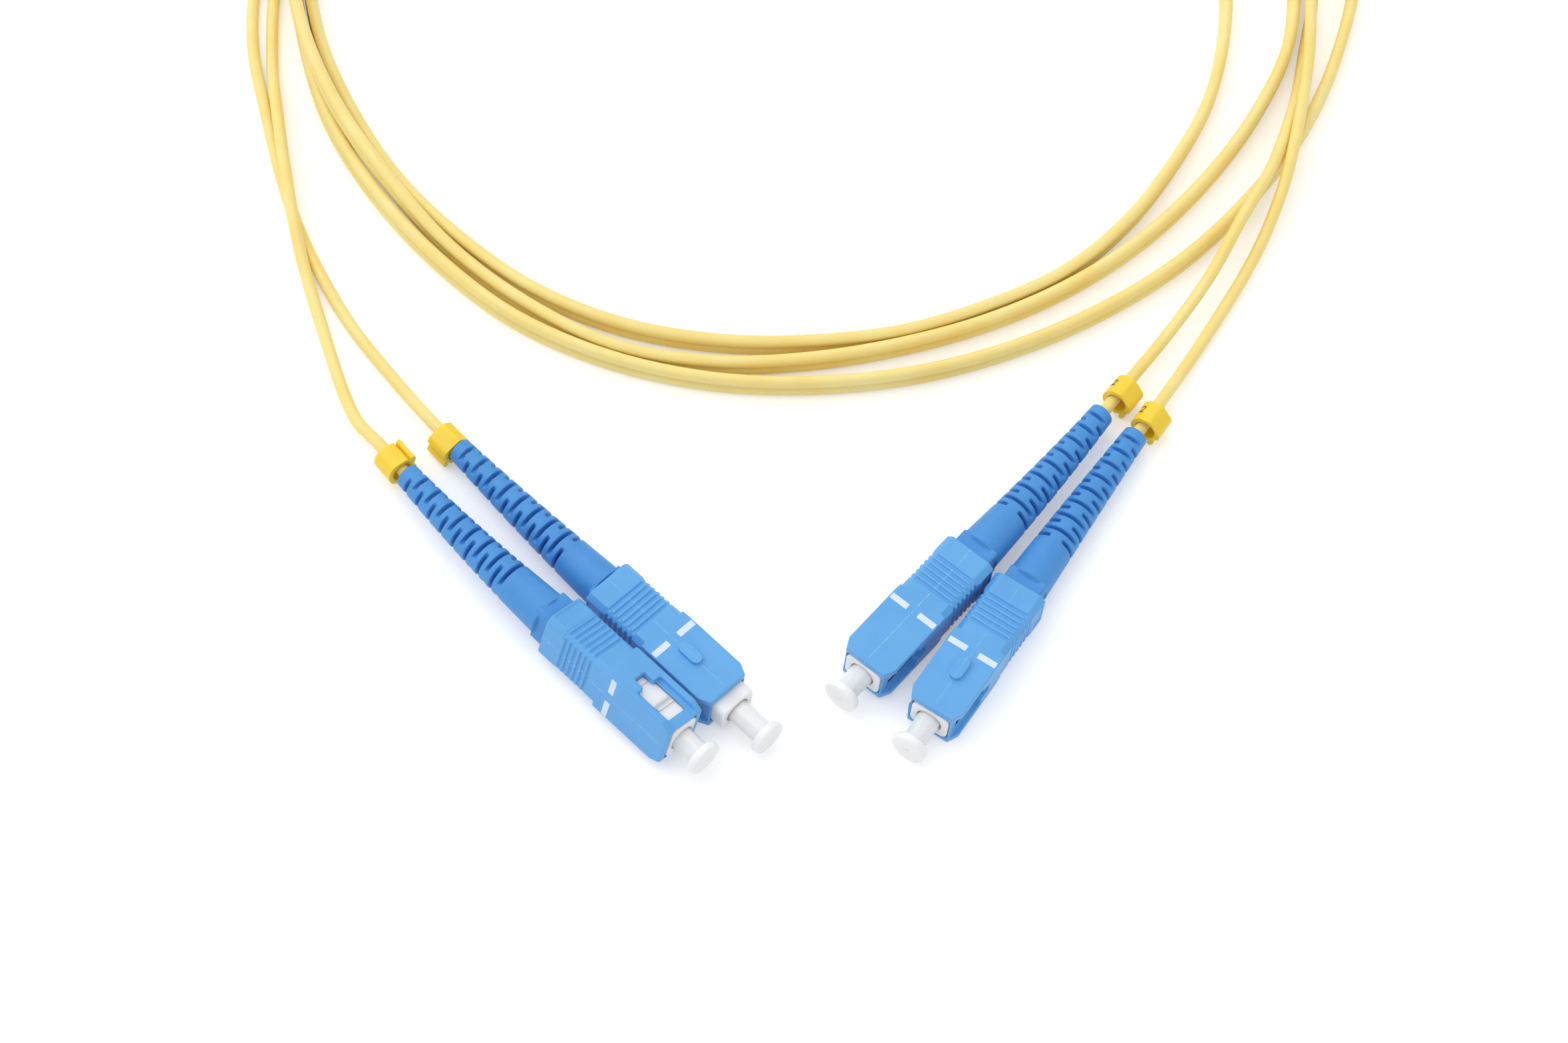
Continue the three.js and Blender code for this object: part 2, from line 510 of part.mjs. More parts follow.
// ---- how each connector lies on the table ----
// place: the middle of the grip's front edge. heading: the way it points, in degrees from +X.
// roll: about its own axis, 0 with the key up. pulled: how far the grip is drawn back.
// capDisc: the disc's distance from the grip's front edge with the grip home.
// bootEnd: how far the boot's small end lies left of and above its axis.
// clip: from the boot's small end to the middle of the marker clip. clipHang: how far the loose clip
// sits left of and above the jacket's middle. latch: which way its slit faces.
const CONNECTORS = {
  a: { place: [-18.16, -40.0, 5.27], heading: -47.58, roll: -103.87, pulled: 0, capDisc: 4.6,
    bootEnd: { left: 1.9, up: -1.6 }, clip: 2.7, clipHang: [-0.1, -0.35], latch: 30 },
  b: { place: [-10.77, -33.17, 3.7], heading: -47.75, roll: 0, pulled: GRIP_TRAVEL, capDisc: 6.4,
    bootEnd: { left: 0.95, up: -0.6 }, clip: 2.7, clipHang: [-0.4, 0], latch: -175 },
  c: { place: [10.08, -29.28, 4.4], heading: -132.75, roll: 180, pulled: 0, capDisc: 4.9,
    bootEnd: { left: -1.1, up: -1.0 }, clip: 4.9, clipHang: [0.3, 0], latch: -50 },
  d: { place: [19.8, -37.0, 3.7], heading: -126.15, roll: 0, pulled: 0, capDisc: 5.5,
    bootEnd: { left: 0.05, up: -0.6 }, clip: 3.3, clipHang: [0.3, 0], latch: -50 },
};
// the point on the table under the middle of the connectors, which is the part's origin
const ORIGIN = [-1.17, -13.67, 0];

// ---- the cord's route ----
// The pair's coil, clockwise from nine o'clock: one row a turn, at equal angles.
const COIL_CENTRE = [6.15, 107.6];
const STATIONS = 32; // in a whole turn
const FIRST_STATION = 168.75; // degrees, where the left legs join
const PAIR_LYING = DUPLEX_HEIGHT / 2 + TABLE_GAP;
const TURN_RADII = [
  [88.2, 86.6, 85.0, 83.5, 82.2, 81.0, 80.2, 80.0, 80.6, 82.0, 84.3, 87.2, 90.8, 94.6, 97.3, 97.9,
    94.6, 91.5, 88.5, 86.5, 84.8, 83.9, 83.7, 83.9, 84.6, 85.2, 85.3, 84.3, 83.6, 83.3, 82.6, 82.6],
  [82.2, 79.4, 76.0, 74.2, 73.0, 72.0, 71.6, 71.5, 71.8, 72.2, 72.6, 73.2, 73.8, 74.4, 75.0, 75.2,
    75.1, 75.1, 74.7, 75.2, 75.7, 75.3, 75.7, 76.1, 77.3, 78.6, 79.2, 79.0, 79.2, 79.3, 80.0, 80.4],
  [79.8, 79.2, 78.6, 76.9, 75.6, 74.6, 74.2, 74.3, 74.8, 75.9, 77.2, 79.4, 81.8, 84.2, 86.2, 87.0,
    86.1, 83.2, 80.8, 79.3, 78.3, 77.8, 78.0, 79.3, 81.4, 82.9, 82.2, 81.5, 81.4, 82.2, 82.9, 83.6],
  [84.8, 83.4, 81.4, 79.6, 78.2, 77.2, 76.8, 76.9, 77.5, 78.6, 80.2, 82.4, 85.0, 87.8, 90.2],
];
// where a turn rides over another: [turn, station, height of the pair's middle]
const HUMPS = [
  [1, 31, 3.6], [2, 0, 6.2], [2, 1, 6.7], [2, 2, 6.1], [2, 3, 3.4],
  [2, 27, 2.5], [2, 28, 4.8], [2, 29, 6.3], [2, 30, 6.8], [2, 31, 6.8], [3, 0, 6.2], [3, 1, 3.4],
];

// two round jackets, one above the other, that share a narrow waist
const pairSection = () => {
  const radius = STRAND / 2;
  const centre = (STRAND + WEB) / 2;
  const points = [];
  for (const side of [-1, 1]) {
    for (let i = 0; i < CORD_SIDES - 1; i += 1) {
      const angle = side * Math.PI / 2 + (2 * Math.PI * (i - (CORD_SIDES - 2) / 2)) / CORD_SIDES;
      points.push([radius * Math.cos(angle), side * centre + radius * Math.sin(angle)]);
    }
  }
  return polygon(points);
};

function duplexCordGeometry() {
  const points = [];
  TURN_RADII.forEach((radii, turn) => radii.forEach((radius, station) => {
    const angle = THREE.MathUtils.degToRad(FIRST_STATION - (360 * station) / STATIONS);
    const hump = HUMPS.find(([humpTurn, humpStation]) => humpTurn === turn && humpStation === station);
    points.push(new THREE.Vector3(
      COIL_CENTRE[0] + radius * Math.cos(angle),
      COIL_CENTRE[1] + radius * Math.sin(angle),
      hump ? hump[2] : PAIR_LYING,
    ));
  }));
  return sweep(pairSection(), points);
}

// Points of each leg from its clip to the pair's end, on the table: [x, y, height of its middle].
const LEG_ROUTES = {
  a: [[-66.2, 17.9, 1.7], [-68.0, 22.3, 1.3], [-69.8, 28.3, 1.1], [-71.8, 35.8, 1.1], [-74.6, 46.5, 1.9],
    [-76.3, 54.7, 3.3], [-77.5, 63.0, 3.3], [-78.4, 69.8, 3.2], [-79.1, 76.2, 2.7], [-80.0, 85.0, 1.5],
    [-80.2, 95.0, 1.1], [-79.9, 104.0, 1.3], [-79.9, 114.0, 2.5], [-80.5, 124.1, 3.25]],
  b: [[-59.7, 24.9, 1.3], [-66.5, 35.0, 1.07], [-70.5, 42.6, 1.07], [-74.5, 51.8, 1.07], [-77.8, 62.3, 1.07],
    [-81.2, 78.4, 1.07], [-83.2, 90.0, 1.07], [-83.4, 100.0, 1.07], [-82.3, 109.4, 1.07], [-81.5, 117.0, 1.07],
    [-80.5, 124.1, 1.07]],
  c: [[63.4, 32.1, 2.3], [71.3, 42.3, 4.0], [77.9, 53.3, 5.6], [83.9, 63.1, 5.8], [88.2, 73.1, 4.4],
    [91.0, 81.0, 2.0], [93.3, 89.6, 1.07], [96.1, 100.9, 1.07], [96.6, 113.0, 1.07], [94.9, 124.5, 1.07]],
  d: [[67.3, 28.4, 1.6], [72.6, 36.3, 1.4], [77.4, 43.7, 1.7], [81.6, 51.0, 2.6], [85.6, 59.8, 4.9],
    [88.0, 67.1, 6.0], [91.0, 78.0, 5.9], [93.2, 87.6, 5.4], [94.7, 97.9, 5.2], [96.0, 112.0, 3.9],
    [94.9, 124.5, 3.25]],
};

// ---- assembly ----
const part = new THREE.Group();
part.name = 'fibre_patch_cord';
const assembly = new THREE.Group();
assembly.position.set(-ORIGIN[0], -ORIGIN[1], -ORIGIN[2]);
part.add(assembly);

const addMesh = (group, name, geometry, material) => {
  const mesh = new THREE.Mesh(geometry, material);
  mesh.name = name;
  group.add(mesh);
};

addMesh(assembly, 'duplex_cord', duplexCordGeometry(), MATERIALS.jacket);

for (const [letter, connector] of Object.entries(CONNECTORS)) {
  const roll = THREE.MathUtils.degToRad(connector.roll);
  const outer = new THREE.Group();
  outer.position.set(...connector.place);
  outer.rotation.set(roll, 0, THREE.MathUtils.degToRad(connector.heading), 'ZYX');
  const inner = new THREE.Group();
  inner.position.x = connector.pulled;
  outer.add(inner);
  assembly.add(outer);

  const { left, up } = connector.bootEnd;
  const bend = {
    y: Math.cos(roll) * left + Math.sin(roll) * up,
    z: -Math.sin(roll) * left + Math.cos(roll) * up,
  };
  addMesh(outer, `outer_housing_${letter}`, gripGeometry(), MATERIALS.grip);
  addMesh(inner, `plug_frame_${letter}`, plugFrameGeometry(), MATERIALS.frame);
  addMesh(inner, `ferrule_${letter}`, ferruleGeometry(), MATERIALS.ferrule);
  addMesh(inner, `ferrule_flange_${letter}`, ferruleFlangeGeometry(), MATERIALS.flange);
  addMesh(inner, `spring_${letter}`, springGeometry(), MATERIALS.spring);
  addMesh(inner, `rear_body_${letter}`, rearBodyGeometry(), MATERIALS.rearBody);
  addMesh(inner, `crimp_ring_${letter}`, crimpRingGeometry(), MATERIALS.crimp);
  addMesh(inner, `fibre_buffer_${letter}`, fibreBufferGeometry(), MATERIALS.frame);
  addMesh(inner, `boot_${letter}`, bootGeometry(bend), MATERIALS.boot);
  addMesh(inner, `dust_cap_${letter}`, dustCapGeometry(connector.capDisc), MATERIALS.cap);

  // the leg follows the boot's bend, then leaves its small end in a straight line through the clip
  outer.updateWorldMatrix(true, true);
  const toTable = (point) => assembly.worldToLocal(inner.localToWorld(point));
  const inBoot = [LEG_START_X, ...BOOT_AXIS].map((x) => toTable(onBootAxis(x, bend)));
  const bootEnd = inBoot.at(-1);
  const direction = toTable(onBootAxis(-BOOT_END - 1, bend)).sub(bootEnd).normalize();
  const along = (distance) => bootEnd.clone().addScaledVector(direction, distance);
  const clip = new THREE.Group();
  const towards = direction.clone().negate();
  const across = new THREE.Vector3(0, 0, 1).cross(towards).normalize();
  clip.position.copy(along(connector.clip))
    .addScaledVector(across, connector.clipHang[0])
    .add(new THREE.Vector3(0, 0, connector.clipHang[1]));
  clip.setRotationFromMatrix(new THREE.Matrix4().makeBasis(towards, across, towards.clone().cross(across)));
  assembly.add(clip);
  addMesh(clip, `marker_clip_${letter}`, clipGeometry(connector.latch), MATERIALS.clip);

  const route = LEG_ROUTES[letter].map((point) => new THREE.Vector3(...point));
  const straightEnd = along(connector.clip + CLIP_LENGTH / 2 + CLIP_TRAVEL);
  const points = [...inBoot, straightEnd, ...route];
  addMesh(assembly, `cable_leg_${letter}`, sweep(ring(STRAND / 2, CORD_SIDES), points), MATERIALS.jacket);
}

export default part;
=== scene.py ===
"""Duplex fibre optic patch cord, coiled on a white table: Blender 4.5 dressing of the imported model.

Each section follows one piece of the cord, in the order in which it is put together. Sizes are in
millimetres where a piece is worked out, and each mesh is put down in metres.
"""
import math
import bpy
import bmesh
import numpy as np
from mathutils import Matrix


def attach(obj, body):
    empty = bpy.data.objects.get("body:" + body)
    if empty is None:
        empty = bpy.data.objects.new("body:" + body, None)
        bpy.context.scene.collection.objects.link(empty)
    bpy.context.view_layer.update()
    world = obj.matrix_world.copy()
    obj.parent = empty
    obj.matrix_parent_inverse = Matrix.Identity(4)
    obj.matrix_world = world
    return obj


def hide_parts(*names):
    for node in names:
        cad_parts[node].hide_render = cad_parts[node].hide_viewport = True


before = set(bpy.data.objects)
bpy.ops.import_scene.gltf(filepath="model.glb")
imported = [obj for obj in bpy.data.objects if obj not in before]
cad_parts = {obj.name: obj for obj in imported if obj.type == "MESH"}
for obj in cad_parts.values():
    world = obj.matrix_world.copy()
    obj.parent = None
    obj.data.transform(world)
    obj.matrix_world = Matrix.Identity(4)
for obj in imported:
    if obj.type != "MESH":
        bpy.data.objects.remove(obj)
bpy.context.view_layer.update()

MM = 0.001
# the part's origin: the point on the table under the middle of the four connectors
ORIGIN = np.array([-1.17, -13.67, 0.0])

# ------------------------
# Camera. A long lens looks down on the table at about sixty degrees, rolled a
# little, with the coil's far half above the frame.
# ------------------------
SENSOR = 36.0
LENS = 91.64
TILT = math.radians(59.719)  # how far the view looks down
ROLL = math.radians(8.13)
TURN = math.radians(-10.2)  # of the part under the camera
DISTANCE = 624.218  # from the aim point on the table

forward = np.array([0.0, math.cos(TILT), -math.sin(TILT)])
level = np.array([1.0, 0.0, 0.0])
upward = np.cross(level, forward)
camera_right = math.cos(ROLL) * level + math.sin(ROLL) * upward
camera_up = -math.sin(ROLL) * level + math.cos(ROLL) * upward
turn = np.array([[math.cos(TURN), -math.sin(TURN), 0.0],
                 [math.sin(TURN), math.cos(TURN), 0.0],
                 [0.0, 0.0, 1.0]])


def linked(name, data):
    """A new object of the scene."""
    made = bpy.data.objects.new(name, data)
    bpy.context.scene.collection.objects.link(made)
    return made


camera_data = bpy.data.cameras.new("photo_view")
camera_data.sensor_width = SENSOR
camera_data.lens = LENS
camera_data.clip_start = 0.01
camera_data.clip_end = 20.0
camera = linked("photo_view", camera_data)
camera_place = (turn @ (-DISTANCE * forward) - ORIGIN) * MM
camera.matrix_world = Matrix([
    [*row, place] for row, place in zip(
        np.column_stack([turn @ camera_right, turn @ camera_up, -(turn @ forward)]).tolist(),
        camera_place.tolist())
] + [[0, 0, 0, 1]])
bpy.context.scene.camera = camera


# ------------------------
# Yellow cord. Two 2 mm jacketed fibres are extruded side by side with a thin web
# between them, and the pair lies on edge in loose turns. At each end the web is
# torn back, so that two single legs run on to their connectors.
# ------------------------
STRAND = 2.0
WEB = 0.1
PAIR_HEIGHT = 2 * STRAND + WEB
TABLE_GAP = 0.06
JACKET_YELLOW = (253, 235, 160)
JACKET_SHADE = (249, 220, 126)


def catmull_rom(points, steps):
    """Centripetal Catmull-Rom spline: each span between two points is a cubic whose end slopes come
    from the spans beside it, weighted by the square roots of their lengths."""
    points = np.asarray(points, dtype=float)
    ends = np.vstack([2 * points[0] - points[1], points, 2 * points[-1] - points[-2]])
    before, start, end, after = ends[:-3], ends[1:-2], ends[2:-1], ends[3:]
    knot = [np.sqrt(np.linalg.norm(b - a, axis=1))[:, None]
            for a, b in ((before, start), (start, end), (end, after))]
    slope = ((start - before) / knot[0] - (end - before) / (knot[0] + knot[1])
             + (end - start) / knot[1]) * knot[1]
    slope_end = ((end - start) / knot[1] - (after - start) / (knot[1] + knot[2])
                 + (after - end) / knot[2]) * knot[1]
    t = np.linspace(0, 1, steps, endpoint=False)[None, :, None]
    start, end, slope, slope_end = (a[:, None, :] for a in (start, end, slope, slope_end))
    cubic = (start + slope * t + (3 * (end - start) - 2 * slope - slope_end) * t ** 2
             + (2 * (start - end) + slope + slope_end) * t ** 3)
    path = np.vstack([cubic.reshape(-1, 3), points[-1:]])
    path[:, 2] = np.maximum(path[:, 2], points[:, 2].min())
    return path


def put_map(mesh, name, uv):
    """Gives a mesh a map, from one place on it for each corner point."""
    layer = mesh.uv_layers.new(name=name)
    index = np.empty(len(mesh.loops), dtype=np.int64)
    mesh.loops.foreach_get("vertex_index", index)
    layer.data.foreach_set("uv", uv.reshape(-1, 2)[index].astype(np.float32).ravel())


def grid_mesh(name, rings, uv=None):
    """Joins closed rings, an array of rings by corners by xyz in millimetres, into one skin with a
    flat cap on each end. The optional uv array gives each corner its place along and around."""
    rings = np.asarray(rings, dtype=float)
    count, corners = rings.shape[:2]
    ring, corner = np.meshgrid(np.arange(count - 1), np.arange(corners), indexing="ij")
    beside = (corner + 1) % corners
    quads = np.stack([ring * corners + corner, ring * corners + beside,
                      (ring + 1) * corners + beside, (ring + 1) * corners + corner], axis=-1)
    faces = quads.reshape(-1, 4).tolist()
    faces.append(list(range(corners - 1, -1, -1)))
    faces.append(list(range((count - 1) * corners, count * corners)))
    mesh = bpy.data.meshes.new(name)
    mesh.from_pydata((rings.reshape(-1, 3) * MM).tolist(), [], faces)
    mesh.polygons.foreach_set("use_smooth", [True] * len(faces))
    if uv is not None:
        put_map(mesh, "along_around", uv)
    mesh.update()
    return mesh


def add_piece(mesh, finish, body, *nodes):
    """Links a finished mesh as a piece that rides on a body and stands for the CAD nodes given."""
    piece = linked(mesh.name, mesh)
    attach(piece, body)
    if nodes:
        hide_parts(*nodes)
    mesh.materials.append(finish)
    return piece


def upright_frames(path):
    """At each point of a path: the level direction to its left, and the way up."""
    along = np.gradient(path, axis=0)
    along /= np.linalg.norm(along, axis=1)[:, None]
    left = np.cross([0.0, 0.0, 1.0], along)
    left /= np.linalg.norm(left, axis=1)[:, None]
    return left, np.cross(along, left)


def swept_rings(path, section):
    """A section of (left, up) corners, one or one for each point, set square to the path."""
    left, up = upright_frames(path)
    section = np.broadcast_to(section, (len(path), *section.shape[-2:]))
    return (path[:, None, :] + section[..., 0:1] * left[:, None, :]
            + section[..., 1:2] * up[:, None, :])


def run_length(path):
    """Distance along a path at each of its points."""
    return np.concatenate([[0], np.cumsum(np.linalg.norm(np.diff(path, axis=0), axis=1))])


def swept_mesh(name, path, section):
    """A section swept along a path; its map holds the place along, in metres, and around."""
    rings = swept_rings(path, section)
    along = np.broadcast_to(run_length(path)[:, None] * MM, rings.shape[:2])
    around = np.broadcast_to(np.linspace(0, 1, rings.shape[1])[None, :], rings.shape[:2])
    return grid_mesh(name, rings, np.stack([along, around], axis=-1))


def linear(colour):
    """A colour as it looks on a screen, 0 to 255, turned into the linear values of a shader."""
    c = np.asarray(colour, dtype=float) / 255
    c = np.where(c <= 0.04045, c / 12.92, ((c + 0.055) / 1.055) ** 2.4)
    return (*c.tolist(), 1.0)


def node(tree, kind, feeds=(), **settings):
    """Adds a shader node and gives its outputs. Each feed, by an input's name or number, is either
    a socket to link or a plain value."""
    made = tree.nodes.new(f"ShaderNode{kind}")
    for key, value in settings.items():
        setattr(made, key, value)
    for label, value in dict(feeds).items():
        if isinstance(value, bpy.types.NodeSocket):
            tree.links.new(value, made.inputs[label])
        else:
            made.inputs[label].default_value = value
    return made.outputs


def noise(tree, place, scale, detail=2.0, **settings):
    """Noise at a place, or at a distance along a line where its settings make it run in 1D."""
    at = "W" if settings else "Vector"
    return node(tree, "TexNoise", {at: place, "Scale": scale, "Detail": detail}, **settings)["Fac"]


def new_group(name, inputs):
    """An empty shader node group with the inputs named, each a colour or a number like its default,
    that gives a colour, a roughness and a normal."""
    group = bpy.data.node_groups.new(name, "ShaderNodeTree")
    for label, default in inputs.items():
        kind = "NodeSocketColor" if isinstance(default, tuple) else "NodeSocketFloat"
        socket = group.interface.new_socket(label, in_out="INPUT", socket_type=kind)
        socket.default_value = default
    for label, kind in (("Colour", "Color"), ("Roughness", "Float"), ("Normal", "Vector")):
        group.interface.new_socket(label, in_out="OUTPUT", socket_type=f"NodeSocket{kind}")
    nodes = group.nodes
    return group, nodes.new("NodeGroupInput").outputs, nodes.new("NodeGroupOutput").inputs


def end_group(tree, skin_in, skin_out, share, gloss, height, depth, strength):
    """Ends a group: the share runs from shade to colour, and the height makes the relief."""
    tone = node(tree, "Mix", {"Factor": share, 6: skin_in["Shade"], 7: skin_in["Colour"]},
                data_type="RGBA")
    relief = node(tree, "Bump", {"Strength": strength, "Distance": depth, "Height": height})
    for label, made in (("Colour", tone[2]), ("Roughness", gloss), ("Normal", relief["Normal"])):
        tree.links.new(made, skin_out[label])


# Extruded jacket: broad cloudy tone, fine lines along the run and a faint orange-peel surface.
jacket_skin, skin_in, skin_out = new_group("extruded_jacket", {
    "Colour": (0.9, 0.8, 0.3, 1), "Shade": (0.8, 0.6, 0.2, 1),
    "Cloud size": 90.0, "Line strength": 0.25})
coords = node(jacket_skin, "TexCoord")
cloud = noise(jacket_skin, coords["Object"], skin_in["Cloud size"], 3.0)
stretch = node(jacket_skin, "Mapping", {"Vector": coords["UV"], "Scale": (60.0, 14.0, 1.0)})
lines = noise(jacket_skin, stretch["Vector"], 1.0, 4.0)
both = node(jacket_skin, "Math", {0: lines, 1: skin_in["Line strength"], 2: cloud},
            operation="MULTIPLY_ADD")
spread = node(jacket_skin, "MapRange", {"Value": both["Value"], "From Min": 0.35, "From Max": 0.85})
rough = node(jacket_skin, "MapRange", {"Value": lines, "To Min": 0.36, "To Max": 0.5})
peel = noise(jacket_skin, coords["Object"], 900.0)
end_group(jacket_skin, skin_in, skin_out, spread["Result"], rough["Result"], peel, 0.0002, 0.12)


def finish_from(name, group, colour, shade, values=(), **fixed):
    """A Principled material fed by an effect group with this piece's own colours and values; the
    settings that are the same all over the piece go on the shader's own sockets."""
    material = bpy.data.materials.new(name)
    material.use_nodes = True
    tree = material.node_tree
    shader = tree.nodes["Principled BSDF"]
    effect = node(tree, "Group", {"Colour": linear(colour), "Shade": linear(shade), **dict(values)},
                  node_tree=group)
    for source, target in (("Colour", "Base Color"), ("Roughness",) * 2, ("Normal",) * 2):
        tree.links.new(effect[source], shader.inputs[target])
    for label, value in fixed.items():
        shader.inputs[label.replace("_", " ")].default_value = value
    return material


jacket_finish = finish_from(
    "yellow_jacket", jacket_skin, JACKET_YELLOW, JACKET_SHADE,
    Subsurface_Weight=0.4, Subsurface_Scale=0.001, Subsurface_Radius=(1.0, 0.6, 0.25))

# The pair's route, clockwise from nine o'clock: one row a turn, at equal angles.
COIL_CENTRE = np.array([6.15, 107.6])
STATIONS = 32
FIRST_STATION = 168.75
PAIR_LYING = PAIR_HEIGHT / 2 + TABLE_GAP
TURN_RADII = [
    [88.2, 86.6, 85.0, 83.5, 82.2, 81.0, 80.2, 80.0, 80.6, 82.0, 84.3, 87.2, 90.8, 94.6, 97.3, 97.9,
     94.6, 91.5, 88.5, 86.5, 84.8, 83.9, 83.7, 83.9, 84.6, 85.2, 85.3, 84.3, 83.6, 83.3, 82.6, 82.6],
    [82.2, 79.4, 76.0, 74.2, 73.0, 72.0, 71.6, 71.5, 71.8, 72.2, 72.6, 73.2, 73.8, 74.4, 75.0, 75.2,
     75.1, 75.1, 74.7, 75.2, 75.7, 75.3, 75.7, 76.1, 77.3, 78.6, 79.2, 79.0, 79.2, 79.3, 80.0, 80.4],
    [79.8, 79.2, 78.6, 76.9, 75.6, 74.6, 74.2, 74.3, 74.8, 75.9, 77.2, 79.4, 81.8, 84.2, 86.2, 87.0,
     86.1, 83.2, 80.8, 79.3, 78.3, 77.8, 78.0, 79.3, 81.4, 82.9, 82.2, 81.5, 81.4, 82.2, 82.9, 83.6],
    [84.8, 83.4, 81.4, 79.6, 78.2, 77.2, 76.8, 76.9, 77.5, 78.6, 80.2, 82.4, 85.0, 87.8, 90.2],
]
# where a turn rides over another: (turn, station) and the height of the pair's middle
HUMPS = {(1, 31): 3.6, (2, 0): 6.2, (2, 1): 6.7, (2, 2): 6.1, (2, 3): 3.4, (2, 27): 2.5,
         (2, 28): 4.8, (2, 29): 6.3, (2, 30): 6.8, (2, 31): 6.8, (3, 0): 6.2, (3, 1): 3.4}
PAIR_STEPS = 6


def coil_points():
    """Each station stands at its own radius from the coil's centre, at equal angles clockwise."""
    places = [(turn, station, radius) for turn, radii in enumerate(TURN_RADII)
              for station, radius in enumerate(radii)]
    angle = np.radians([FIRST_STATION - 360 * station / STATIONS for _, station, _ in places])
    radius = np.array([radius for _, _, radius in places])
    height = np.array([HUMPS.get((turn, station), PAIR_LYING) for turn, station, _ in places])
    return np.column_stack([COIL_CENTRE[0] + radius * np.cos(angle),
                            COIL_CENTRE[1] + radius * np.sin(angle), height])


def pair_section(around=16, waist=28):
    """Two circles one above the other, each left open towards the other by the waist's angle, so
    that the outline runs once round both through a narrow web."""
    sweep = np.radians(np.linspace(-180 + waist, 180 - waist, around))
    upper = np.column_stack([-np.sin(sweep), np.cos(sweep)]) * STRAND / 2
    centre = (STRAND + WEB) / 2
    return np.vstack([upper + [0, centre], -upper + [0, -centre]])


pair_path = catmull_rom(coil_points(), PAIR_STEPS) - ORIGIN
duplex = add_piece(swept_mesh("duplex_pair", pair_path, pair_section()), jacket_finish,
                   "cord", "duplex_cord")

# ------------------------
# Single legs. Where the web is torn back each fibre keeps its own round jacket,
# with a low ragged ridge along the side that the web was torn from.
# ------------------------
GRIP_TRAVEL = 2.0
BOOT_END = 62.2
BOOT_NECK = -33.7
LEG_START = -27.8
CLIP_LENGTH = 4.8
CLIP_TRAVEL = 2.0
# place: the middle of the grip's front edge. heading: the way it points, in degrees from +X.
# roll: about its own axis, 0 with the key up. pulled: how far the grip is drawn back.
# cap_disc: the disc's distance from the grip's front edge with the grip home.
# boot_end: how far the boot's small end lies left of and above its axis.
# clip, seat: from the boot's small end to the middle of the clip's room and of its ring. hang: how
# far the loose ring sits left of and above the jacket's middle. latch: which way its slit faces.
# digit: whether it carries one; those two are put on end for end.
CONNECTORS = {
    "a": dict(place=(-18.16, -40.0, 5.27), heading=-47.58, roll=-103.87, pulled=0.0, cap_disc=4.6,
              boot_end=(1.9, -1.6), clip=2.7, seat=2.95, hang=(-0.1, -0.3), latch=5.0, digit=False),
    "b": dict(place=(-10.77, -33.17, 3.7), heading=-47.75, roll=0.0, pulled=GRIP_TRAVEL,
              cap_disc=6.4, boot_end=(0.95, -0.6), clip=2.7, seat=2.1, hang=(-0.3, -0.5),
              latch=-178.0, digit=False),
    "c": dict(place=(10.08, -29.28, 4.4), heading=-132.75, roll=180.0, pulled=0.0, cap_disc=4.9,
              boot_end=(-1.1, -1.0), clip=4.9, seat=5.1, hang=(0.72, 0.06), latch=-27.0, digit=True),
    "d": dict(place=(19.8, -37.0, 3.7), heading=-126.15, roll=0.0, pulled=0.0, cap_disc=5.5,
              boot_end=(0.05, -0.6), clip=3.3, seat=3.7, hang=(0.7, 0.1), latch=-28.0, digit=True),
}
# points of each leg from its clip to the pair's end, with the height of its middle
LEG_ROUTES = {
    "a": [(-66.2, 17.9, 1.7), (-68.0, 22.3, 1.3), (-69.8, 28.3, 1.1), (-71.8, 35.8, 1.1),
          (-74.6, 46.5, 1.9), (-76.3, 54.7, 3.3), (-77.5, 63.0, 3.3), (-78.4, 69.8, 3.2),
          (-79.1, 76.2, 2.7), (-80.0, 85.0, 1.5), (-80.2, 95.0, 1.1), (-79.9, 104.0, 1.3),
          (-79.9, 114.0, 2.5), (-80.5, 124.1, 3.25)],
    "b": [(-59.7, 24.9, 1.3), (-66.5, 35.0, 1.07), (-70.5, 42.6, 1.07), (-74.5, 51.8, 1.07),
          (-77.8, 62.3, 1.07), (-81.2, 78.4, 1.07), (-83.2, 90.0, 1.07), (-83.4, 100.0, 1.07),
          (-82.3, 109.4, 1.07), (-81.5, 117.0, 1.07), (-80.5, 124.1, 1.07)],
    "c": [(63.4, 32.1, 2.3), (71.3, 42.3, 4.0), (77.9, 53.3, 5.6), (83.9, 63.1, 5.8),
          (88.2, 73.1, 4.4), (91.0, 81.0, 2.0), (93.3, 89.6, 1.07), (96.1, 100.9, 1.07),
          (96.6, 113.0, 1.07), (94.9, 124.5, 1.07)],
    "d": [(67.3, 28.4, 1.6), (72.6, 36.3, 1.4), (77.4, 43.7, 1.7), (81.6, 51.0, 2.6),
          (85.6, 59.8, 4.9), (88.0, 67.1, 6.0), (91.0, 78.0, 5.9), (93.2, 87.6, 5.4),
          (94.7, 97.9, 5.2), (96.0, 112.0, 3.9), (94.9, 124.5, 3.25)],
}
LEG_STEPS = 14
# the angle round each leg, from its left side over its top, at which the torn ridge stands
RIDGE_ANGLE = {"a": 250.0, "b": 75.0, "c": 110.0, "d": 60.0}


def connector_axes(letter):
    """Columns: the way the plug points, its left and its key side, by its heading and roll."""
    heading, roll = (math.radians(CONNECTORS[letter][key]) for key in ("heading", "roll"))
    ahead = np.array([math.cos(heading), math.sin(heading), 0.0])
    left = np.array([-math.sin(heading), math.cos(heading), 0.0])
    up = np.array([0.0, 0.0, 1.0])
    return np.column_stack([ahead, math.cos(roll) * left + math.sin(roll) * up,
                            -math.sin(roll) * left + math.cos(roll) * up])


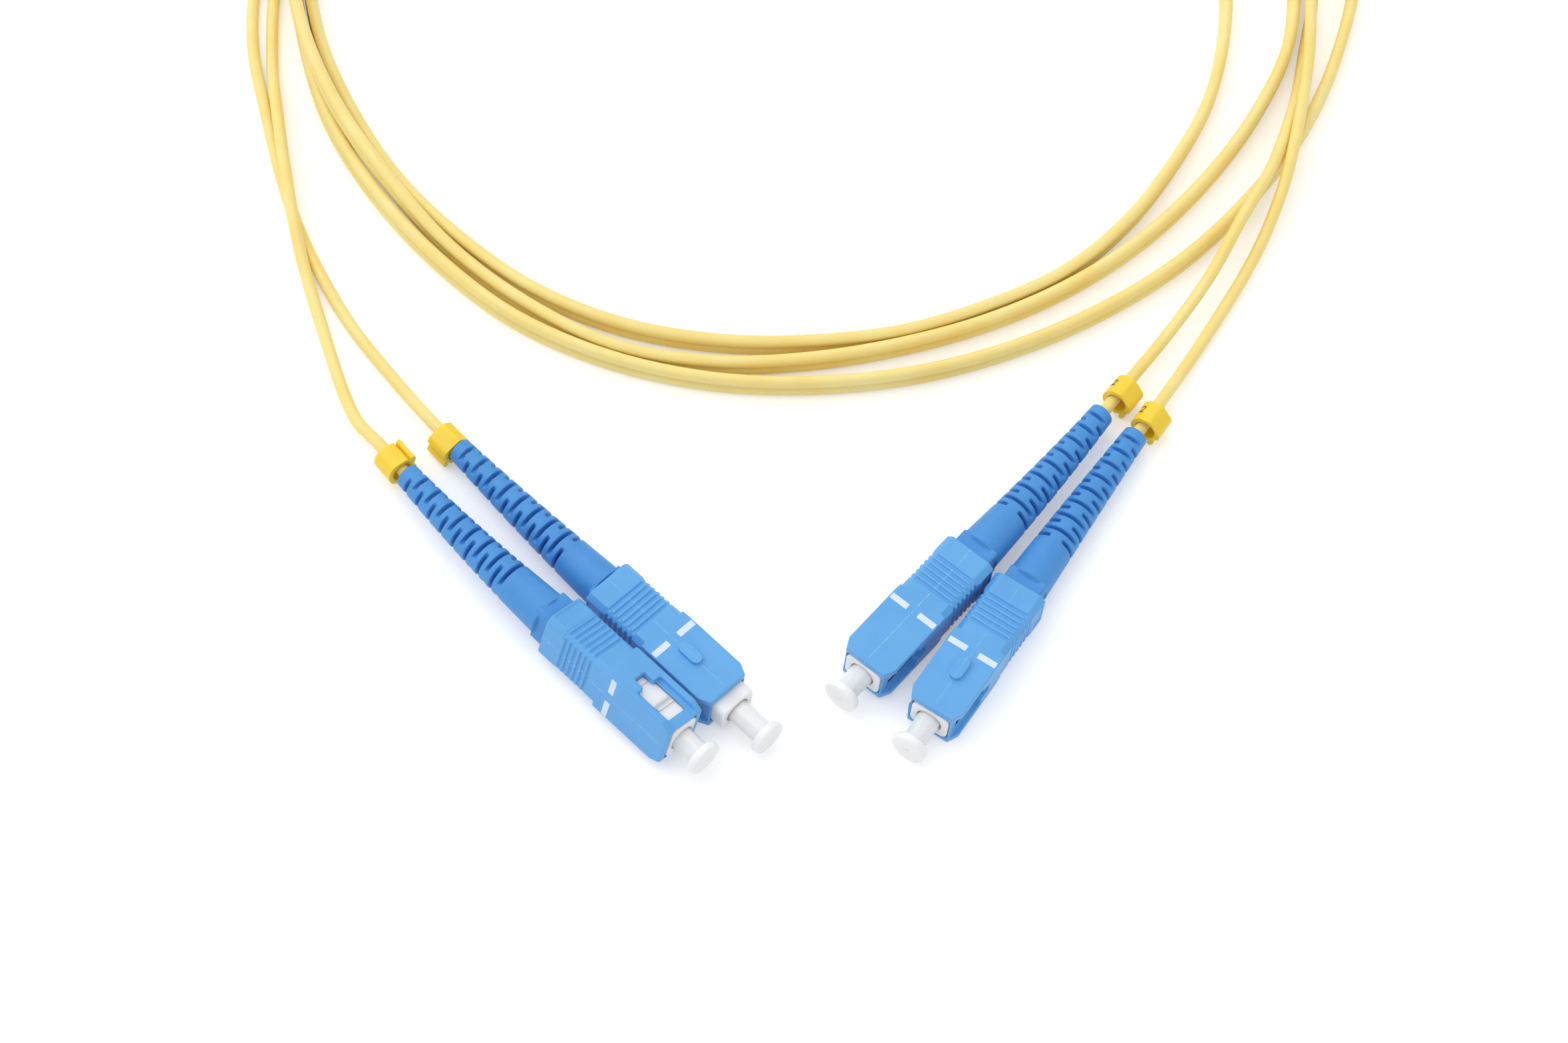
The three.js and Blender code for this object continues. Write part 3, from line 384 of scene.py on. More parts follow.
def laid(letter, points, pulled=True):
    """Puts points given along a connector's axis onto the table; what is inside a drawn-back grip
    stands further forward by the grip's travel."""
    shift = CONNECTORS[letter]["pulled"] if pulled else 0.0
    points = np.asarray(points, dtype=float) + [shift, 0, 0]
    return points @ connector_axes(letter).T + CONNECTORS[letter]["place"] - ORIGIN


def boot_bend(letter):
    """The small end's offset, level left and up, turned into the rolled connector's own axes."""
    roll = math.radians(CONNECTORS[letter]["roll"])
    left, up = CONNECTORS[letter]["boot_end"]
    return np.array([math.cos(roll) * left + math.sin(roll) * up,
                     -math.sin(roll) * left + math.cos(roll) * up])


def boot_axis(letter, x):
    """The middle of the boot at x: its offset grows with the square of the way from its neck."""
    x = np.atleast_1d(np.asarray(x, dtype=float))
    share = np.clip((BOOT_NECK - x) / (BOOT_END + BOOT_NECK), 0, None) ** 2
    return np.column_stack([x, share[:, None] * boot_bend(letter)])


def clip_line(letter):
    """The straight stretch of a leg behind its boot: where it starts, and the way it runs."""
    start, ahead = laid(letter, boot_axis(letter, [-BOOT_END, -BOOT_END - 1]))
    direction = ahead - start
    return start, direction / np.linalg.norm(direction)


def leg_points(letter):
    in_boot = laid(letter, boot_axis(letter, [LEG_START, BOOT_NECK, -38, -44, -50, -56, -BOOT_END]))
    start, direction = clip_line(letter)
    straight = start + direction * (CONNECTORS[letter]["clip"] + CLIP_LENGTH / 2 + CLIP_TRAVEL)
    return np.vstack([in_boot, straight, np.array(LEG_ROUTES[letter]) - ORIGIN])


def angles_round(count):
    """Even angles once round a circle, the first at 0."""
    return np.linspace(0, 2 * np.pi, count, endpoint=False)


def leg_section(path, letter, around=24):
    """A circle with a low ridge at one angle, whose height wavers along the run where it tore."""
    angle = angles_round(around)
    away = np.angle(np.exp(1j * (angle - math.radians(RIDGE_ANGLE[letter]))))
    ridge = np.exp(-(away / 0.16) ** 2)
    s = run_length(path)
    waver = 0.09 + 0.035 * np.sin(s * 2.1) + 0.03 * np.sin(s * 5.3 + 1.0) + 0.02 * np.sin(s * 11.0)
    waver = np.where(s < BOOT_END + LEG_START, 0.0, np.clip(waver, 0.02, None))
    radius = STRAND / 2 + waver[:, None] * ridge[None, :]
    return np.stack([radius * np.cos(angle), radius * np.sin(angle)], axis=-1)


leg_paths = {}
for letter in CONNECTORS:
    path = catmull_rom(leg_points(letter), LEG_STEPS)
    leg_paths[letter] = path
    add_piece(
        swept_mesh(f"single_leg_{letter}", path, leg_section(path, letter)), jacket_finish,
        "cord", f"cable_leg_{letter}")

# ------------------------
# Boots. Each is moulded in soft blue plastic: a square collar that sits in the grip's mouth, then a
# long taper with four rows of flat-floored slots, which let it bend and show the cable inside.
# ------------------------
GRIP_LENGTH = 26.2
BOOT_LARGE = 7.2
BOOT_SMALL = 4.0
BOOT_BORE = 2.6
BOOT_COLLAR = (6.6, 5.7)  # across the connector's left, and across its key side
BOOT_COLLAR_CORNER = 0.35
BOOT_COLLAR_TAIL = 0.5  # how far the collar's corners run back along the taper
BOOT_STEP = -GRIP_LENGTH - 2.2  # where the taper starts
BOOT_FRONT = -GRIP_LENGTH + 5.1
BOOT_LIP = 0.25
SLOTS = 8
SLOT_PITCH = 3.1
SLOT_WIDTH = 0.6
SLOT_FIRST = 2.2
SLOT_FLOOR = STRAND / 2 + 0.1
SLOT_EDGE = 0.07
OPEN_FLOOR = 0.95  # inside the cable's own skin, which shows there
BOOT_SIDES = 96
BOOT_BLUE = (74, 152, 222)
BOOT_SHADE = (66, 142, 214)


def smooth_step(t):
    """Rises from 0 to 1 as t does, level at both ends: t squared times (3 - 2 t)."""
    t = np.clip(t, 0, 1)
    return t * t * (3 - 2 * t)


def rounded_reach(angle, half_width, half_height, corner):
    """Distance from the middle of a rounded rectangle to its outline at an angle: to the flat side,
    or where that lies past the corner's centre, to the circle in the corner."""
    c, s = np.abs(np.cos(angle)), np.abs(np.sin(angle))
    with np.errstate(divide="ignore"):
        flat = np.minimum(half_width / c, half_height / s)
    centre_x, centre_y = half_width - corner, half_height - corner
    along_ray = centre_x * c + centre_y * s
    inside = along_ray ** 2 - (centre_x ** 2 + centre_y ** 2 - corner ** 2)
    arc = along_ray + np.sqrt(np.clip(inside, 0, None))
    in_corner = (flat * c > centre_x) & (flat * s > centre_y)
    return np.where(in_corner, arc, flat)


def closed_skin(name, rings, uv=None, loop=False):
    """Rings joined into a closed skin, with caps or run round in a loop, facing outwards."""
    mesh = grid_mesh(name, rings, uv)
    skin = bmesh.new()
    skin.from_mesh(mesh)
    if loop:
        skin.faces.ensure_lookup_table()
        bmesh.ops.delete(skin, geom=skin.faces[-2:], context="FACES_ONLY")
        bmesh.ops.remove_doubles(skin, verts=skin.verts, dist=1e-8)
    if skin.calc_volume(signed=True) < 0:
        bmesh.ops.reverse_faces(skin, faces=skin.faces)
    skin.to_mesh(mesh)
    skin.free()
    return mesh


def boot_stations():
    """Places along the boot: even steps, with closer ones at the slots' edges and the collar."""
    even = np.arange(-BOOT_END, BOOT_FRONT, 0.5)
    first = -BOOT_END + SLOT_FIRST
    centres = first + np.arange(2 * SLOTS) * SLOT_PITCH / 2
    near = SLOT_WIDTH / 2 + np.array([-0.2, -SLOT_EDGE, -SLOT_EDGE / 2, 0, SLOT_EDGE / 2, SLOT_EDGE,
                                      0.16, 0.28])
    slot = (centres[:, None] + np.concatenate([-near, near])).ravel()
    step = BOOT_STEP + np.array([-0.9, -0.6, -0.54, -0.5, -0.46, -0.3, -0.2, -0.1, -0.04, 0, 0.04,
                                 0.1])
    rim = -BOOT_END + BOOT_LIP * (1 - np.cos(np.linspace(0, np.pi / 2, 6)))
    away = even[np.abs(even[:, None] - np.concatenate([slot, step])).min(axis=1) > 0.15]
    return np.unique(np.round(np.concatenate([away, slot, step, rim, [BOOT_FRONT]]), 4)), centres


def boot_outside(x, centres, angle):
    """Radius of the boot's outside at x and angle. The taper is a straight line in x. Across each
    slot the radius drops to a flat floor, whose distance is the floor's own over the cosine of the
    angle from the slot's side; where that floor lies inside the bore the cable shows. The collar
    is a rounded rectangle, and wins wherever it stands further out than the taper."""
    share = (x + BOOT_END) / (BOOT_END + BOOT_STEP)
    taper = BOOT_SMALL / 2 + (BOOT_LARGE - BOOT_SMALL) / 2 * share
    rim = np.clip((x + BOOT_END) / BOOT_LIP, 0, 1)
    taper = taper - BOOT_LIP * (1 - np.sqrt(1 - (1 - rim) ** 2))
    radius = np.broadcast_to(taper[:, None], (len(x), len(angle)))
    for row in range(2):
        own = centres[row::2]
        distance = np.abs(x[:, None] - own[None, :]).min(axis=1)
        c = np.abs(np.sin(angle) if row == 0 else np.cos(angle))
        with np.errstate(divide="ignore"):
            floor = np.minimum(SLOT_FLOOR / c[None, :], radius)
        floor = np.where(floor < BOOT_BORE / 2, OPEN_FLOOR, floor)
        inside = 1 - smooth_step((distance - SLOT_WIDTH / 2 + SLOT_EDGE) / (2 * SLOT_EDGE))
        worn = 0.09 * np.exp(-((distance - SLOT_WIDTH / 2) / 0.14) ** 2)
        cut = np.clip((radius - floor) / 1.2, 0, 1)
        radius = radius - inside[:, None] * (radius - floor) - (worn * (1 - inside))[:, None] * cut
    behind = 1 - smooth_step((x - BOOT_STEP + 0.08) / 0.1)
    collar = rounded_reach(angle, BOOT_COLLAR[0] / 2, BOOT_COLLAR[1] / 2, BOOT_COLLAR_CORNER)
    started = smooth_step((x - BOOT_STEP + BOOT_COLLAR_TAIL + 0.04) / 0.08)
    return np.maximum(radius * behind[:, None], collar[None, :] * started[:, None])


def round_rings(x, radius, angle):
    """Rings about the first axis, each at its x, with the radius given at each angle."""
    return np.stack([np.broadcast_to(np.reshape(x, (-1, 1)), radius.shape),
                     radius * np.cos(angle), radius * np.sin(angle)], axis=-1)


def boot_mesh(letter):
    """Rings from the front bore, out over the collar, along the taper and into the small end."""
    x, centres = boot_stations()
    x = x[::-1]
    angle = angles_round(BOOT_SIDES)
    outside = boot_outside(x, centres, angle)
    bore_front = np.full((3, BOOT_SIDES), 2.55)
    bore_front[0] = 1.9
    bore_rear = np.full((3, BOOT_SIDES), BOOT_BORE / 2)
    x = np.concatenate([[BOOT_NECK + 1.0, -31.0, BOOT_FRONT], x,
                        [-BOOT_END, -BOOT_END + 0.1, -BOOT_END + 1.2]])
    bore_rear[0] += 0.1
    radius = np.vstack([bore_front, outside, bore_rear])
    rings = round_rings(x, radius, angle)
    rings[..., 1:] += boot_axis(letter, x)[:, None, 1:]
    return closed_skin(f"flexible_boot_{letter}", laid(letter, rings))


# Moulded plastic: a broad cloudy tone, a faint fine grain in tone and in the surface, and a gloss
# that wavers with them.
moulded_skin, skin_in, skin_out = new_group("moulded_plastic", {
    "Colour": (0.2, 0.5, 0.8, 1), "Shade": (0.1, 0.4, 0.7, 1), "Cloud size": 160.0,
    "Grain size": 4000.0, "Grain share": 0.35, "Grain depth": 0.00002, "Gloss": 0.32, "Dull": 0.44})
place = node(moulded_skin, "TexCoord")["Object"]
cloud = noise(moulded_skin, place, skin_in["Cloud size"])
grain = noise(moulded_skin, place, skin_in["Grain size"])
mixed = node(moulded_skin, "Mix", {"Factor": skin_in["Grain share"], 2: cloud, 3: grain},
             data_type="FLOAT")["Result"]
spread = node(moulded_skin, "MapRange", {"Value": mixed, "From Min": 0.3, "From Max": 0.7})
rough = node(moulded_skin, "MapRange", {
    "Value": mixed, "To Min": skin_in["Gloss"], "To Max": skin_in["Dull"]})
end_group(moulded_skin, skin_in, skin_out, spread["Result"], rough["Result"], grain,
          skin_in["Grain depth"], 0.25)

boot_finish = finish_from("blue_boot", moulded_skin, BOOT_BLUE, BOOT_SHADE, {
    "Grain size": 2500.0, "Gloss": 0.42, "Dull": 0.58})
for letter in CONNECTORS:
    boot = add_piece(boot_mesh(letter), boot_finish, "cord", f"boot_{letter}")

# ------------------------
# Grips. The outer housing of each connector, moulded in bright blue: its edges are softly rounded,
# its ribs are full and round, and along each wide face the mould's hair-fine parting line is
# drawn as a pale painted highlight.
# ------------------------
GRIP_HEIGHT = 7.4
VOXEL = 0.11
SOFTENING = 4
KEPT_SHARE = 0.35
# how much thinner the painted seam highlight is drawn on the key's side
SEAM_HIGHLIGHT_THINNER = 2.0
GRIP_BLUE = (98, 174, 235)
GRIP_SHADE = (90, 165, 229)
# painted highlight: the pale colour given to the mould's hair-fine seam, in place of light caught
# along its ridge
PAINTED_SEAM_HIGHLIGHT = (158, 208, 246)


def in_connector(letter, points):
    """Points of the shared frame, in metres, put in one connector's own axes, in millimetres."""
    return (np.asarray(points) / MM + ORIGIN - CONNECTORS[letter]["place"]) @ connector_axes(letter)


def grip_mesh(letter):
    """The housing's solid drawn afresh on a fine even grid in the connector's own axes, so that
    every edge comes out slightly rounded as moulded ones are, then smoothed and thinned where it is
    flat. Its map holds the place along and across the grip, in millimetres, and twice the place
    across on the key's side, where the painted highlight along the mould's seam is drawn thinner."""
    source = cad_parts[f"outer_housing_{letter}"].data
    corners = np.empty(len(source.vertices) * 3)
    source.vertices.foreach_get("co", corners)
    rough = source.copy()
    rough.vertices.foreach_set("co", in_connector(letter, corners.reshape(-1, 3)).ravel())
    skin = bmesh.new()
    skin.from_mesh(rough)
    bmesh.ops.remove_doubles(skin, verts=skin.verts, dist=2e-4)
    skin.to_mesh(rough)
    skin.free()
    stand_in = linked("stand_in", rough)
    grid = stand_in.modifiers.new("even_grid", "REMESH")
    grid.mode = "VOXEL"
    grid.voxel_size = VOXEL
    smooth = stand_in.modifiers.new("softened", "SMOOTH")
    smooth.factor = 0.5
    smooth.iterations = SOFTENING
    thin = stand_in.modifiers.new("thinned", "DECIMATE")
    thin.ratio = KEPT_SHARE
    worked_out = bpy.context.evaluated_depsgraph_get()
    mesh = bpy.data.meshes.new_from_object(stand_in.evaluated_get(worked_out))
    bpy.data.objects.remove(stand_in)
    bpy.data.meshes.remove(rough)
    mesh.name = f"push_pull_grip_{letter}"
    place = np.empty(len(mesh.vertices) * 3)
    mesh.vertices.foreach_get("co", place)
    place = place.reshape(-1, 3)
    mesh.vertices.foreach_set("co", (laid(letter, place, pulled=False) * MM).ravel())
    across = place[:, 1] * np.where(place[:, 2] > 0, SEAM_HIGHLIGHT_THINNER, 1)
    put_map(mesh, "along_across", np.column_stack([place[:, 0], across]))
    mesh.polygons.foreach_set("use_smooth", [True] * len(mesh.polygons))
    mesh.materials.clear()
    mesh.update()
    return mesh


grip_finish = finish_from("blue_housing", moulded_skin, GRIP_BLUE, GRIP_SHADE)
tree = grip_finish.node_tree
base = tree.nodes["Principled BSDF"].inputs["Base Color"]
# painted highlight along the seam: a pale line where the place across a wide face is near zero,
# broken along its length and half as wide on the key's side
apart = node(tree, "SeparateXYZ", {"Vector": node(tree, "TexCoord")["UV"]})
beside = node(tree, "Math", {0: apart["Y"]}, operation="ABSOLUTE")
on_painted_seam = node(tree, "MapRange", {"Value": beside["Value"], "From Min": 0.07, "From Max": 0.03},
               interpolation_type="SMOOTHSTEP")
ragged = noise(tree, apart["X"], 0.7, noise_dimensions="1D")
shown = node(tree, "MapRange", {"Value": ragged, "From Min": 0.35, "From Max": 0.6})
line = node(tree, "Math", {0: on_painted_seam["Result"], 1: shown["Result"]}, operation="MULTIPLY")
with_seam_highlight = node(tree, "Mix", {"Factor": line["Value"], 6: base.links[0].from_socket,
                               7: linear(PAINTED_SEAM_HIGHLIGHT)}, data_type="RGBA")
tree.links.new(with_seam_highlight[2], base)

for letter in CONNECTORS:
    grip = add_piece(grip_mesh(letter), grip_finish, f"grip_{letter}", f"outer_housing_{letter}")

# White bars are printed across both wide faces, two a side, to line up with an adapter's edge.
MARK_PLACE = (-12.26, -11.21)
MARK_ACROSS = (1.03, 4.24)
MARK_PROUD = 0.02
MARK_SINK = 0.1
MARK_WHITE = (226, 238, 250)
MARK_SHADE = (214, 231, 247)
MARK_EASE = 0.12


def eased(corners, ease, steps=4):
    """A closed outline with each corner replaced by a short parabola that leaves its two sides at
    the distance given, or at nearly half of a side where that is shorter."""
    corners = np.asarray(corners, dtype=float)
    sides = [np.roll(corners, shift, axis=0) - corners for shift in (1, -1)]
    lengths = [np.linalg.norm(side, axis=1)[:, None] for side in sides]
    ease = np.broadcast_to(np.asarray(ease, dtype=float), len(corners))[:, None]
    start, end = (corners + side / length * np.minimum(ease, 0.49 * length)
                  for side, length in zip(sides, lengths))
    t = np.linspace(0, 1, steps)[None, :, None]
    curve = ((1 - t) ** 2 * start[:, None] + 2 * t * (1 - t) * corners[:, None]
             + t ** 2 * end[:, None])
    return curve.reshape(-1, corners.shape[1])


def one_mesh(name, meshes):
    """Several closed skins put together as one mesh."""
    joined = bmesh.new()
    for mesh in meshes:
        joined.from_mesh(mesh)
        bpy.data.meshes.remove(mesh)
    whole = bpy.data.meshes.new(name)
    joined.to_mesh(whole)
    joined.free()
    return whole


def printed_bars(letter):
    """Four bars, each a rounded rectangle given a hair's thickness, in one mesh."""
    meshes = []
    rear, front = MARK_PLACE
    for face in (-1, 1):
        heights = face * (GRIP_HEIGHT / 2 + np.array([-MARK_SINK, MARK_PROUD]))
        for side in (-1, 1):
            near, far = (side * across for across in MARK_ACROSS)
            outline = eased([(rear, near), (front, near), (front, far), (rear, far)], MARK_EASE)
            rings = np.stack([np.column_stack([outline, np.full(len(outline), height)])
                              for height in heights])
            meshes.append(closed_skin("bar", laid(letter, rings, pulled=False)))
    return one_mesh(f"white_marks_{letter}", meshes)


mark_finish = finish_from("printed_white", moulded_skin, MARK_WHITE, MARK_SHADE, {
    "Cloud size": 900.0, "Grain size": 6000.0, "Gloss": 0.45, "Dull": 0.6})
for letter in CONNECTORS:
    marks = add_piece(printed_bars(letter), mark_finish, f"grip_{letter}")
    marks.data.polygons.foreach_set("use_smooth", [False] * len(marks.data.polygons))

# ------------------------
# Plug frames. The white inner plug of each connector: a rounded square tube with a round bore, a
# ramped latch lug and a stop on each side, and a collar at the rear. The boot's end is fixed to it.
# ------------------------
FRAME_OUTSIDE = (6.5, 5.0)
FRAME_CORNER = 0.95
FRAME_NOSE = 0.3
NOSE_EASE = 0.32
FRAME_REAR = -(GRIP_LENGTH - 7.7)
SHOULDER_FRONT = FRAME_REAR + 1.9
SHOULDER_RISE = 0.25
BORE = 4.3
BORE_DEPTH = 6.2
REAR_BORE_FROM = -7.1
FERRULE_HOLE = 3.1
LUG_FRONT = -4.0
LUG_LENGTH = 1.2
LUG_HEIGHT = 0.35
LUG_HALF = 1.65
STOP_REAR = -10.0
STOP_HALF = 0.9
BLOCK_FACE = 0.97  # how much of a block's outline its outer face keeps
FRAME_SIDES = 80
FRAME_WHITE = (252, 252, 254)
FRAME_SHADE = (247, 248, 251)


def rounded_block(letter, low, high, ease, slope=0.0):
    """A block between two corners, its section an eased rectangle; its outer face may slope down
    towards the rear by the given height."""
    outline = eased([(low[0], low[2]), (high[0], low[2]), (high[0], high[2]), (low[0], high[2])],
                    ease)
    rear = np.clip((high[0] - outline[:, 0]) / (high[0] - low[0]), 0, 1)
    outer_low = abs(high[1]) > abs(low[1])
    near, far = (low[1], high[1]) if outer_low else (high[1], low[1])
    sloped = far - math.copysign(1, far) * slope * smooth_step(rear * 1.4 - 0.4)
    rings = np.stack([
        np.column_stack([outline[:, 0], np.full(len(outline), near), outline[:, 1]]),
        np.column_stack([outline[:, 0], sloped - math.copysign(0.06, far), outline[:, 1]]),
        np.column_stack([high[0] + (outline[:, 0] - high[0]) * BLOCK_FACE - 0.02, sloped,
                         outline[:, 1] * BLOCK_FACE])])
    return closed_skin("block", laid(letter, rings))


def plug_frame_mesh(letter):
    """One closed loop of rings: along the outside, round the nose in a quarter circle, back down the
    bore, through the ferrule's wall, and out along the rear bore. Outside rings are rounded
    rectangles, bore rings are circles."""
    angle = angles_round(FRAME_SIDES)
    half_width, half_height = (side / 2 for side in FRAME_OUTSIDE)

    def outside(x, inset=0.0):
        return x, rounded_reach(angle, half_width - inset, half_height - inset,
                                FRAME_CORNER - inset)

    def bore(x, diameter):
        return x, np.full(FRAME_SIDES, diameter / 2)

    turn_in = np.linspace(0, np.pi / 2, 6)
    rings = [outside(FRAME_REAR, -SHOULDER_RISE), outside(SHOULDER_FRONT, -SHOULDER_RISE),
             outside(SHOULDER_FRONT + 0.2), outside(-12.0), outside(-6.0), outside(-2.0)]
    rings += [outside(FRAME_NOSE - NOSE_EASE * (1 - math.sin(a)), NOSE_EASE * (1 - math.cos(a)))
              for a in turn_in]
    rings += [bore(FRAME_NOSE, BORE + 0.3), bore(FRAME_NOSE - 0.05, BORE + 0.1),
              bore(FRAME_NOSE - 0.2, BORE), bore(-3.0, BORE), bore(-BORE_DEPTH + 0.1, BORE),
              bore(-BORE_DEPTH, BORE - 0.2), bore(-BORE_DEPTH, FERRULE_HOLE),
              bore(REAR_BORE_FROM, FERRULE_HOLE), bore(REAR_BORE_FROM, BORE),
              bore(FRAME_REAR, BORE), outside(FRAME_REAR, -SHOULDER_RISE)]
    points = round_rings([x for x, _ in rings], np.stack([reach for _, reach in rings]), angle)
    pieces = [closed_skin("tube", laid(letter, points), loop=True)]
    for side in (-1, 1):
        inner, outer = side * (FRAME_OUTSIDE[0] / 2 - 0.2), side * (6.3 / 2 + LUG_HEIGHT)
        low_y, high_y = min(inner, outer), max(inner, outer)
        pieces.append(rounded_block(letter, (LUG_FRONT - LUG_LENGTH, low_y, -LUG_HALF),
                                    (LUG_FRONT, high_y, LUG_HALF), 0.15, slope=LUG_HEIGHT))
        pieces.append(rounded_block(letter, (STOP_REAR, low_y, -STOP_HALF),
                                    (STOP_REAR + 1.0, high_y, STOP_HALF), 0.2))
    mesh = one_mesh(f"inner_plug_{letter}", pieces)
    mesh.polygons.foreach_set("use_smooth", [True] * len(mesh.polygons))
    mesh.set_sharp_from_angle(angle=math.radians(40))
    return mesh


frame_finish = finish_from(
    "white_frame", moulded_skin, FRAME_WHITE, FRAME_SHADE, {"Gloss": 0.3, "Dull": 0.45},
    Subsurface_Weight=0.5, Subsurface_Scale=0.0015, Subsurface_Radius=(1.0, 1.0, 1.0))
for letter in CONNECTORS:
    plug = add_piece(plug_frame_mesh(letter), frame_finish, "cord", f"plug_frame_{letter}")

# ------------------------
# Inside the plug. A ceramic ferrule pressed into a turned metal flange, a coil spring behind it, the
# turned rear body with its knurled tail, the crimped sleeve over that, and the buffered fibre.
# ------------------------
FERRULE = 2.5
FERRULE_TIP = 1.9
FERRULE_LENGTH = 10.5
CORE = 0.125
COLLAR_FRONT = REAR_BORE_FROM - 0.2
COLLAR_LENGTH = 2.1
COLLAR = 3.9
TAIL = 2.2
TAIL_LENGTH = 4.6
FIBRE_BORE = 1.5
SPRING_WIRE = 0.44
SPRING = 3.2
SPRING_TURNS = 5
SPRING_ROOM = 5.0
REAR_BARREL = 3.8
REAR_SHOULDER = 5.8
REAR_SHOULDER_LENGTH = 1.6
CRIMP_TAIL = 3.1
CRIMP_TAIL_LENGTH = 7.1
CRIMP_WALL = 0.4
SEAT = 0.3
BUFFER = 0.9
BUFFER_FRONT = -10.0
CRIMP_NECK_LENGTH = 5.3
collar_rear = COLLAR_FRONT - COLLAR_LENGTH
shoulder_front = FRAME_REAR - SEAT
tail_front = shoulder_front - REAR_SHOULDER_LENGTH
tail_end = tail_front - CRIMP_TAIL_LENGTH


def turned_mesh(name, letter, profile, sides=48, ease=0.08, waves=None):
    """A profile of (place along the axis, radius) corners, each corner eased, turned about the axis
    and run round in a loop. waves gives a ripple's depth, its count round the axis and the stretch
    of the axis that carries it, as a knurl does. The map holds the place along and around."""
    outline = eased([(x, radius) for x, radius in profile], ease)
    outline = np.vstack([outline, outline[:1]])
    angle = angles_round(sides)
    radius = np.repeat(outline[:, 1:2], sides, axis=1)
    if waves:
        depth, count, rear, front, beyond = waves
        on = (outline[:, 0] > rear) & (outline[:, 0] < front) & (outline[:, 1] > beyond)
        radius += on[:, None] * depth * np.cos(count * angle)[None, :]
    rings = round_rings(outline[:, 0], radius, angle)
    uv = np.stack([np.broadcast_to(outline[:, 0:1], radius.shape),
                   np.broadcast_to(angle[None, :] / (2 * np.pi), radius.shape)], axis=-1)
    mesh = closed_skin(name, laid(letter, rings), uv=uv, loop=True)
    mesh.set_sharp_from_angle(angle=math.radians(50))
    return mesh


def spring_mesh(letter):
    """A wire's circle carried along a helix: its axis place falls evenly as its angle turns, and the
    first and last turns lie nearly flat."""
    turns = np.linspace(0, 1, SPRING_TURNS * 32 + 1)
    room = SPRING_ROOM - SPRING_WIRE - 2 * SEAT
    closed = turns + 0.06 * np.sin(2 * np.pi * turns)
    turning = 2 * np.pi * SPRING_TURNS * turns
    path = np.column_stack([collar_rear - SEAT - SPRING_WIRE / 2 - room * closed,
                            SPRING / 2 * np.cos(turning), SPRING / 2 * np.sin(turning)])
    along = np.gradient(path, axis=0)
    along /= np.linalg.norm(along, axis=1)[:, None]
    outward = np.column_stack([np.zeros(len(path)), np.cos(turning), np.sin(turning)])
    beside = np.cross(along, outward)
    angle = angles_round(12)
    c, s = np.cos(angle)[None, :, None], np.sin(angle)[None, :, None]
    rings = path[:, None] + SPRING_WIRE / 2 * (c * outward[:, None] + s * beside[:, None])
    return closed_skin(f"coil_spring_{letter}", laid(letter, rings))


# Turned metal: fine rings round the axis in tone, gloss and surface, under a faint cloudy tarnish.
turned_metal, skin_in, skin_out = new_group("turned_metal", {
    "Colour": (0.6, 0.6, 0.6, 1), "Shade": (0.4, 0.4, 0.4, 1),
    "Ring size": 14.0, "Gloss": 0.2, "Dull": 0.4})
coords = node(turned_metal, "TexCoord")
apart = node(turned_metal, "SeparateXYZ", {"Vector": coords["UV"]})
rings_on = noise(turned_metal, apart["X"], skin_in["Ring size"], 3.0, noise_dimensions="1D")
tarnish = noise(turned_metal, coords["Object"], 700.0)
blend = node(turned_metal, "Mix", {"Factor": 0.4, 2: rings_on, 3: tarnish},
             data_type="FLOAT")["Result"]
rough = node(turned_metal, "MapRange", {
    "Value": blend, "To Min": skin_in["Gloss"], "To Max": skin_in["Dull"]})
end_group(turned_metal, skin_in, skin_out, blend, rough["Result"], rings_on, 0.00002, 0.3)

zirconia_finish = finish_from(
    "polished_zirconia", moulded_skin, (246, 246, 241), (238, 238, 232),
    {"Grain depth": 0.000004, "Gloss": 0.08, "Dull": 0.16}, Coat_Weight=0.3)
flange_finish = finish_from(
    "nickel_flange", turned_metal, (196, 193, 184), (168, 164, 154), Metallic=1.0)
wire_finish = finish_from(
    "spring_steel", turned_metal, (206, 206, 204), (176, 176, 174), Metallic=1.0)
body_finish = finish_from(
    "nickel_rear_body", turned_metal, (188, 185, 174), (160, 156, 144), Metallic=1.0)
crimp_finish = finish_from(
    "crimped_brass", turned_metal, (201, 178, 128), (170, 144, 96), {"Dull": 0.5}, Metallic=1.0)
buffer_finish = finish_from(
    "white_buffer", moulded_skin, (240, 240, 236), (228, 228, 222), {"Gloss": 0.4, "Dull": 0.55})

